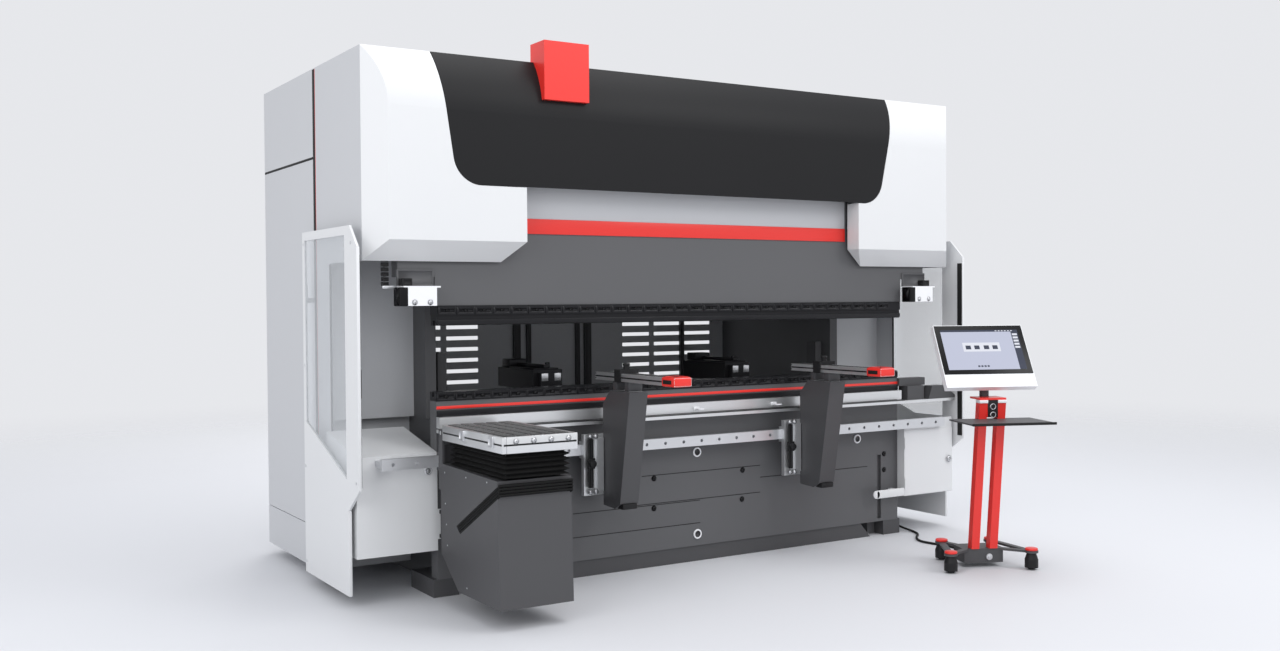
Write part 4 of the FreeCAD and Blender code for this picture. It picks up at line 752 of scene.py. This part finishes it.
class PRESS_OT_guards(bpy.types.Operator):
    """Adds the edging, the seals, the grips and the screws of the side guards, and the panels' edging"""
    bl_idname = "press_brake.guards"
    bl_label = "Side guards"

    def execute(self, context):
        sheet = 1.984
        for side, name in ((-1, "left"), (1, "right")):
            body = name + "_guard"
            x0, x1 = span(side, sheet, 2.000)
            parts = [block("Edge_front", (x0, -0.159, 0.590), (x1, -0.153, 1.738), 0.002),
                     block("Edge_low", (x0, -0.009, 0.062), (x1, -0.003, 0.474), 0.002)]
            fit(merge(name + "_guard_edging", parts), "cover_white", body)
            x0, x1 = span(side, 1.9800, 1.9863)
            seal = block(name + "_guard_seal", (x0, -0.152, 0.600), (x1, -0.116, 1.700), 0.002)
            fit(seal, "black_rubber", body)
            x0, x1 = span(side, sheet - 0.018, sheet)
            grip = block(name + "_guard_grip", (x0, -0.120, 1.02), (x1, -0.100, 1.16), 0.004, 3)
            fit(grip, "black_plastic", body)
            heads = []
            for i, (y, z) in enumerate(((0.672, 0.12), (0.672, 0.62), (0.672, 1.15), (0.672, 1.78),
                                        (-0.075, 1.76), (-0.12, 0.62))):
                heads.append(drum("Guard_screw_%d" % i, (side * 1.999, y, z), 0.007, 0.004, "X", 0.001, 16))
            fit(merge(name + "_guard_screws", heads), "bright_steel", body)
            x0, x1 = span(side, 1.931, 1.941)
            edge = block(name + "_panel_edging", (x0, 0.418, 0.062), (x1, 0.426, 1.672), 0.002)
            fit(edge, "black_rubber", "machine")
        return {"FINISHED"}


class PRESS_OT_boxes(bpy.types.Operator):
    """Adds the lock, the handle and the rest of the storage boxes at both ends"""
    bl_idname = "press_brake.boxes"
    bl_label = "Storage boxes"

    def execute(self, context):
        lock = ring("Left_box_lock", (-1.600, -0.032, 0.640), 0.016, 0.004, "Y", 28)
        pin = drum("Lock_pin", (-1.600, -0.032, 0.640), 0.010, 0.008, "Y", 0.001, 20)
        fit(merge("Left_box_lock", [lock, pin]), "bright_steel", "machine")
        grip = [block("Grip_bar", (-1.545, -0.062, 0.300), (-1.525, -0.046, 0.444), 0.005, 3)]
        grip += [block("Grip_foot", (-1.545, -0.050, z), (-1.525, -0.030, z + 0.020), 0.003) for z in (0.302, 0.422)]
        fit(merge("Left_box_handle", grip), "black_plastic", "machine")
        rest = [block("Rest_bar", (1.310, -0.096, 0.246), (1.540, -0.086, 0.296), 0.004, 3),
                drum("Rest_end", (1.310, -0.091, 0.271), 0.025, 0.010, "Y", 0.002, 28),
                block("Rest_bracket", (1.470, -0.086, 0.252), (1.500, -0.020, 0.290), 0.003)]
        fit(merge("Bed_rest_arm", rest), "cover_white", "machine")
        knob = drum("Storage_door_lock", (1.930, -0.090, 0.450), 0.014, 0.014, "Y", 0.002, 24)
        fit(recess(knob, (0, -1, 0), 0.004, 0.002), "bright_steel", "storage_door")
        return {"FINISHED"}


class PRESS_OT_rear(bpy.types.Operator):
    """Adds the locks of the rear doors and of the cabinets"""
    bl_idname = "press_brake.rear"
    bl_label = "Rear locks"

    def execute(self, context):
        for side, name, inner in ((-1, "left", -0.345), (1, "right", 0.265)):
            for piece, body, x, radius, rim, heights in (
                    ("_rear_door_locks", name + "_rear_door", inner, 0.018, 0.005, (0.45, 1.35, 2.25)),
                    ("_cabinet_locks", "machine", side * 1.49, 0.014, 0.004, (0.40, 1.25, 2.10, 2.48))):
                locks = [recess(drum("Lock_%d" % i, (x, 1.612, z), radius, 0.008, "Y", 0.002, 28), (0, 1, 0), rim,
                                0.002) for i, z in enumerate(heights)]
                fit(merge(name + piece, locks), "black_plastic", body)
        return {"FINISHED"}


class PRESS_OT_seams(bpy.types.Operator):
    """Paints the shade in the seams of the side cabinets as black strips, and adds the ribs inside the rear wall"""
    bl_idname = "press_brake.seams"
    bl_label = "Seams and ribs"

    def execute(self, context):
        for side, name in ((-1, "Left"), (1, "Right")):
            x0, x1 = span(side, 1.930, 1.9388)
            # black strips that stand in for the shade deep in the cabinet seams: painted shade
            seam_shade_strips = [block("Upright_seam_shade", (x0, 0.641, 0.064), (x1, 0.680, 2.700), 0.0004, 1),
                      block("Level_seam_shade", (x0, 0.681, 2.2310), (x1, 1.604, 2.2440), 0.0004, 1)]
            fit(merge(name + "_cabinet_seam_shade", seam_shade_strips), "black_rubber", "machine")
            line = block(name + "_seam_line", (x0, 0.6380, 0.064), (x1, 0.6405, 2.700), 0.0004, 1)
            fit(line, "signal_red", "machine")
        ribs = []
        for i, (x, width) in enumerate(((-1.0, 0.03), (-0.307, 0.05), (-0.22, 0.03), (0.15, 0.03), (0.228, 0.05),
                                        (1.0, 0.03))):
            rib = block("Rib_%d" % i, (x - width / 2, 1.580, 0.40), (x + width / 2, 1.6034, 2.50), 0.002)
            ribs.append(recess(rib, (0, -1, 0), 0.006, 0.004))
        fit(merge("Rear_wall_ribs", ribs), "dark_grey", "machine")
        return {"FINISHED"}


class PRESS_OT_gauge(bpy.types.Operator):
    """Adds the stops, plates and adjusters of the two back gauge fingers"""
    bl_idname = "press_brake.gauge"
    bl_label = "Back gauge fingers"

    def execute(self, context):
        for side in ("left", "right"):
            low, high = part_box(side + "_gauge_finger")
            middle = (low[0] + high[0]) / 2
            top = high[2]
            body = side + "_finger"
            tips = [block("Tip_%d" % i, (x, low[1] - 0.004, top - 0.060), (x + 0.040, low[1] + 0.03, top - 0.018),
                          0.002) for i, x in enumerate((middle - 0.060, middle + 0.020))]
            fit(merge(side + "_finger_tips", tips), "bright_steel", body)
            parts = [block("Plate", (low[0] + 0.012, low[1] + 0.060, top),
                           (high[0] - 0.012, high[1] - 0.120, top + 0.008), 0.002),
                     block("Rail", (middle - 0.018, low[1] + 0.050, top + 0.008),
                           (middle + 0.018, high[1] - 0.060, top + 0.026), 0.003),
                     block("Motor", (low[0] + 0.020, high[1] - 0.110, top + 0.001),
                           (high[0] - 0.050, high[1] - 0.010, top + 0.048), 0.006, 3),
                     drum("Adjuster", (high[0] - 0.030, low[1] + 0.16, top + 0.020), 0.014, 0.030, "Z", 0.002, 20)]
            fit(merge(side + "_finger_top", parts), "black_steel", body)
        return {"FINISHED"}


class PRESS_OT_stand(bpy.types.Operator):
    """Adds the caps, bands, buttons' rings and lock of the terminal's stand"""
    bl_idname = "press_brake.stand"
    bl_label = "Terminal stand"

    def execute(self, context):
        caps = [drum("Cap_%d" % i, (x, y, 0.111), 0.034, 0.014, "Z", 0.005, 32)
                for i, (x, y) in enumerate(CASTERS)]
        fit(put_in(merge("Stand_caps", caps), STAND), "signal_red", "machine")
        bands = [block("Band_%d" % i, (x - 0.024, -0.1985, 0.912), (x + 0.024, -0.143, 0.929), 0.002)
                 for i, x in enumerate((-0.0525, 0.0525))]
        fit(put_in(merge("Upright_bands", bands), STAND), "white_plastic", "machine")
        plate = block("Control_plate", (-0.029, -0.1925, 0.836), (0.029, -0.1885, 0.928), 0.002)
        fit(put_in(plate, STAND), "black_plastic", "machine")
        rings = [ring("Ring_%d" % i, (0, -0.1935, z), 0.0145, 0.0028, "Y", 32) for i, z in enumerate((0.849, 0.893))]
        fit(put_in(merge("Button_rings", rings), STAND), "button_metal", "machine")
        lock = [drum("Lock_barrel", (0.03, -0.079, 0.058), 0.018, 0.010, "Y", 0.002, 28),
                drum("Lock_core", (0.03, -0.085, 0.058), 0.009, 0.006, "Y", 0.001, 20)]
        fit(put_in(merge("Stand_lock", lock), STAND), "bright_steel", "machine")
        edge = block("Shelf_edge", (-0.232, -0.457, 0.816), (0.232, -0.449, 0.830), 0.003, 3)
        fit(put_in(edge, STAND), "black_rubber", "machine")
        return {"FINISHED"}


class PRESS_OT_monitor(bpy.types.Operator):
    """Adds the dark glass, the screen and its picture, and the rear vents of the monitor"""
    bl_idname = "press_brake.monitor"
    bl_label = "Monitor"

    def execute(self, context):
        half, front = 0.258, -0.060
        glass = block("Monitor_glass", (-half + 0.004, front - 0.003, -0.098), (half - 0.004, front, 0.204), 0.003, 3)
        fit(put_in(glass, SCREEN), "glass_black", "monitor")
        left, right, low, high = -half + 0.034, half - 0.034, -0.072, 0.176

        def patch(name, x0, x1, z0, z1, lift=0.0002):
            return block(name, (x0, front - 0.0034 - lift, z0), (x1, front - 0.003, z1), 0.0001, 1)

        fit(put_in(patch("Screen_back", left, right, low, high), SCREEN), "screen_blue", "monitor")
        ink = [patch("Top_bar", left, right, high - 0.012, high, 0.0004),
               patch("Side_bar", right - 0.040, right, low, high - 0.012, 0.0004)]
        ink += [patch("Tile_%d" % i, left + x, left + x + 0.030, 0.054, 0.078, 0.0006)
                for i, x in enumerate((0.125, 0.175, 0.230, 0.280))]
        ink += [patch("Key_%d" % i, left + 0.170 + i * 0.018, left + 0.182 + i * 0.018, -0.056, -0.046, 0.0004)
                for i in range(4)]
        fit(put_in(merge("Screen_bars", ink), SCREEN), "screen_ink", "monitor")
        pale = [patch("Dialog", left + 0.110, left + 0.325, 0.040, 0.096, 0.0004)]
        pale += [patch("Row_%d" % i, right - 0.035, right - 0.006, 0.140 - i * 0.020, 0.152 - i * 0.020, 0.0006)
                 for i in range(5)]
        pale += [patch("Mark_%d" % i, right - 0.130 + i * 0.018, right - 0.120 + i * 0.018, high - 0.009,
                       high - 0.004, 0.0006) for i in range(6)]
        fit(put_in(merge("Screen_tiles", pale), SCREEN), "screen_white", "monitor")
        slot = block("Vent", (-0.16, -0.021, 0.120), (0.16, -0.0192, 0.124), 0.0006)
        fit(put_in(row(slot, 6, (0, 0, 0.010)), SCREEN), "black_plastic", "monitor")
        return {"FINISHED"}


class PRESS_OT_stage(bpy.types.Operator):
    """Sets up the floor, the backdrop colour and the studio lights"""
    bl_idname = "press_brake.stage"
    bl_label = "Stage"

    def execute(self, context):
        settings = context.scene.press_brake_stage
        deselect()
        bpy.ops.mesh.primitive_circle_add(vertices=96, radius=30, fill_type="NGON", location=(0, 0, 0))
        floor = bpy.context.object
        floor.name = "Floor"
        material = bpy.data.materials.new("Studio floor")
        material.use_nodes = True
        tree = material.node_tree
        shader = tree.nodes["Principled BSDF"]
        set_inputs(shader, {"Base Color": (*settings.floor_tone, 1), "Roughness": 0.6})
        place = wired(tree, "ShaderNodeTexCoord")
        distance = wired(tree, "ShaderNodeVectorMath", "LENGTH", [(0, place.outputs["Object"])])
        fade = wired(tree, "ShaderNodeMapRange", None, [("Value", distance.outputs["Value"])],
                     [("From Min", 3.6), ("From Max", 13.0), ("To Min", 1.0), ("To Max", 0.0)])
        fade.interpolation_type = "SMOOTHSTEP"
        tree.links.new(fade.outputs["Result"], shader.inputs["Alpha"])
        floor.data.materials.append(material)
        context.scene.view_settings.view_transform = "Standard"
        world = context.scene.world or bpy.data.worlds.new("Studio")
        context.scene.world = world
        world.use_nodes = True
        set_inputs(world.node_tree.nodes["Background"],
                   {"Color": (*settings.backdrop_tone, 1), "Strength": 0.97})
        lights = (("Key", (4.5, -7.5, 7.0), (0, 0.3, 1.2), 3.0, 180),
                  ("Fill", (-8.0, -4.0, 4.0), (0, 0, 1.2), 5.0, 150),
                  ("Front", (-3.0, -8.5, 5.0), (-1.2, 0, 0.9), 4.0, 80),
                  ("Top", (0.5, -1.5, 8.0), (0, 0.2, 1.0), 6.0, 250),
                  ("Back", (3.0, 8.0, 5.0), (0, 1, 1.4), 5.0, 200))
        for name, at, aim, size, power in lights:
            data = bpy.data.lights.new(name, "AREA")
            data.shape = "SQUARE"
            data.size = size
            data.energy = power * settings.light_level
            lamp = bpy.data.objects.new(name, data)
            context.scene.collection.objects.link(lamp)
            lamp.location = at
            lamp.rotation_euler = (Vector(aim) - Vector(at)).to_track_quat("-Z", "Y").to_euler()
        return {"FINISHED"}


class PRESS_PT_panel(bpy.types.Panel):
    """Lists the steps that finish the press brake"""
    bl_idname = "PRESS_PT_panel"
    bl_label = "Press brake"
    bl_space_type = "VIEW_3D"
    bl_region_type = "UI"
    bl_category = "Press brake"

    def draw(self, context):
        for group in (context.scene.press_brake_colours, context.scene.press_brake_sizes,
                      context.scene.press_brake_stage):
            box = self.layout.box()
            for name in group.bl_rna.properties.keys():
                if name not in ("rna_type", "name"):
                    box.prop(group, name)
        for step in STEPS:
            self.layout.operator(step.bl_idname)


GROUPS = (PressBrakeColours, PressBrakeSizes, PressBrakeStage)
STEPS = (PRESS_OT_camera, PRESS_OT_finishes, PRESS_OT_cable, PRESS_OT_ram_trims, PRESS_OT_sensors,
         PRESS_OT_table_trims, PRESS_OT_bed_trims, PRESS_OT_supports, PRESS_OT_follower, PRESS_OT_bellows,
         PRESS_OT_follower_case, PRESS_OT_guards, PRESS_OT_boxes, PRESS_OT_rear, PRESS_OT_seams,
         PRESS_OT_gauge, PRESS_OT_stand, PRESS_OT_monitor, PRESS_OT_stage)


def register():
    for item in GROUPS + STEPS + (PRESS_PT_panel,):
        bpy.utils.register_class(item)
    bpy.types.Scene.press_brake_colours = bpy.props.PointerProperty(type=PressBrakeColours)
    bpy.types.Scene.press_brake_sizes = bpy.props.PointerProperty(type=PressBrakeSizes)
    bpy.types.Scene.press_brake_stage = bpy.props.PointerProperty(type=PressBrakeStage)


def unregister():
    del bpy.types.Scene.press_brake_stage
    del bpy.types.Scene.press_brake_sizes
    del bpy.types.Scene.press_brake_colours
    for item in reversed(GROUPS + STEPS + (PRESS_PT_panel,)):
        bpy.utils.unregister_class(item)


def main():
    register()
    for step in STEPS:
        group, name = step.bl_idname.split(".")
        getattr(getattr(bpy.ops, group), name)()


if __name__ == "__main__":
    main()
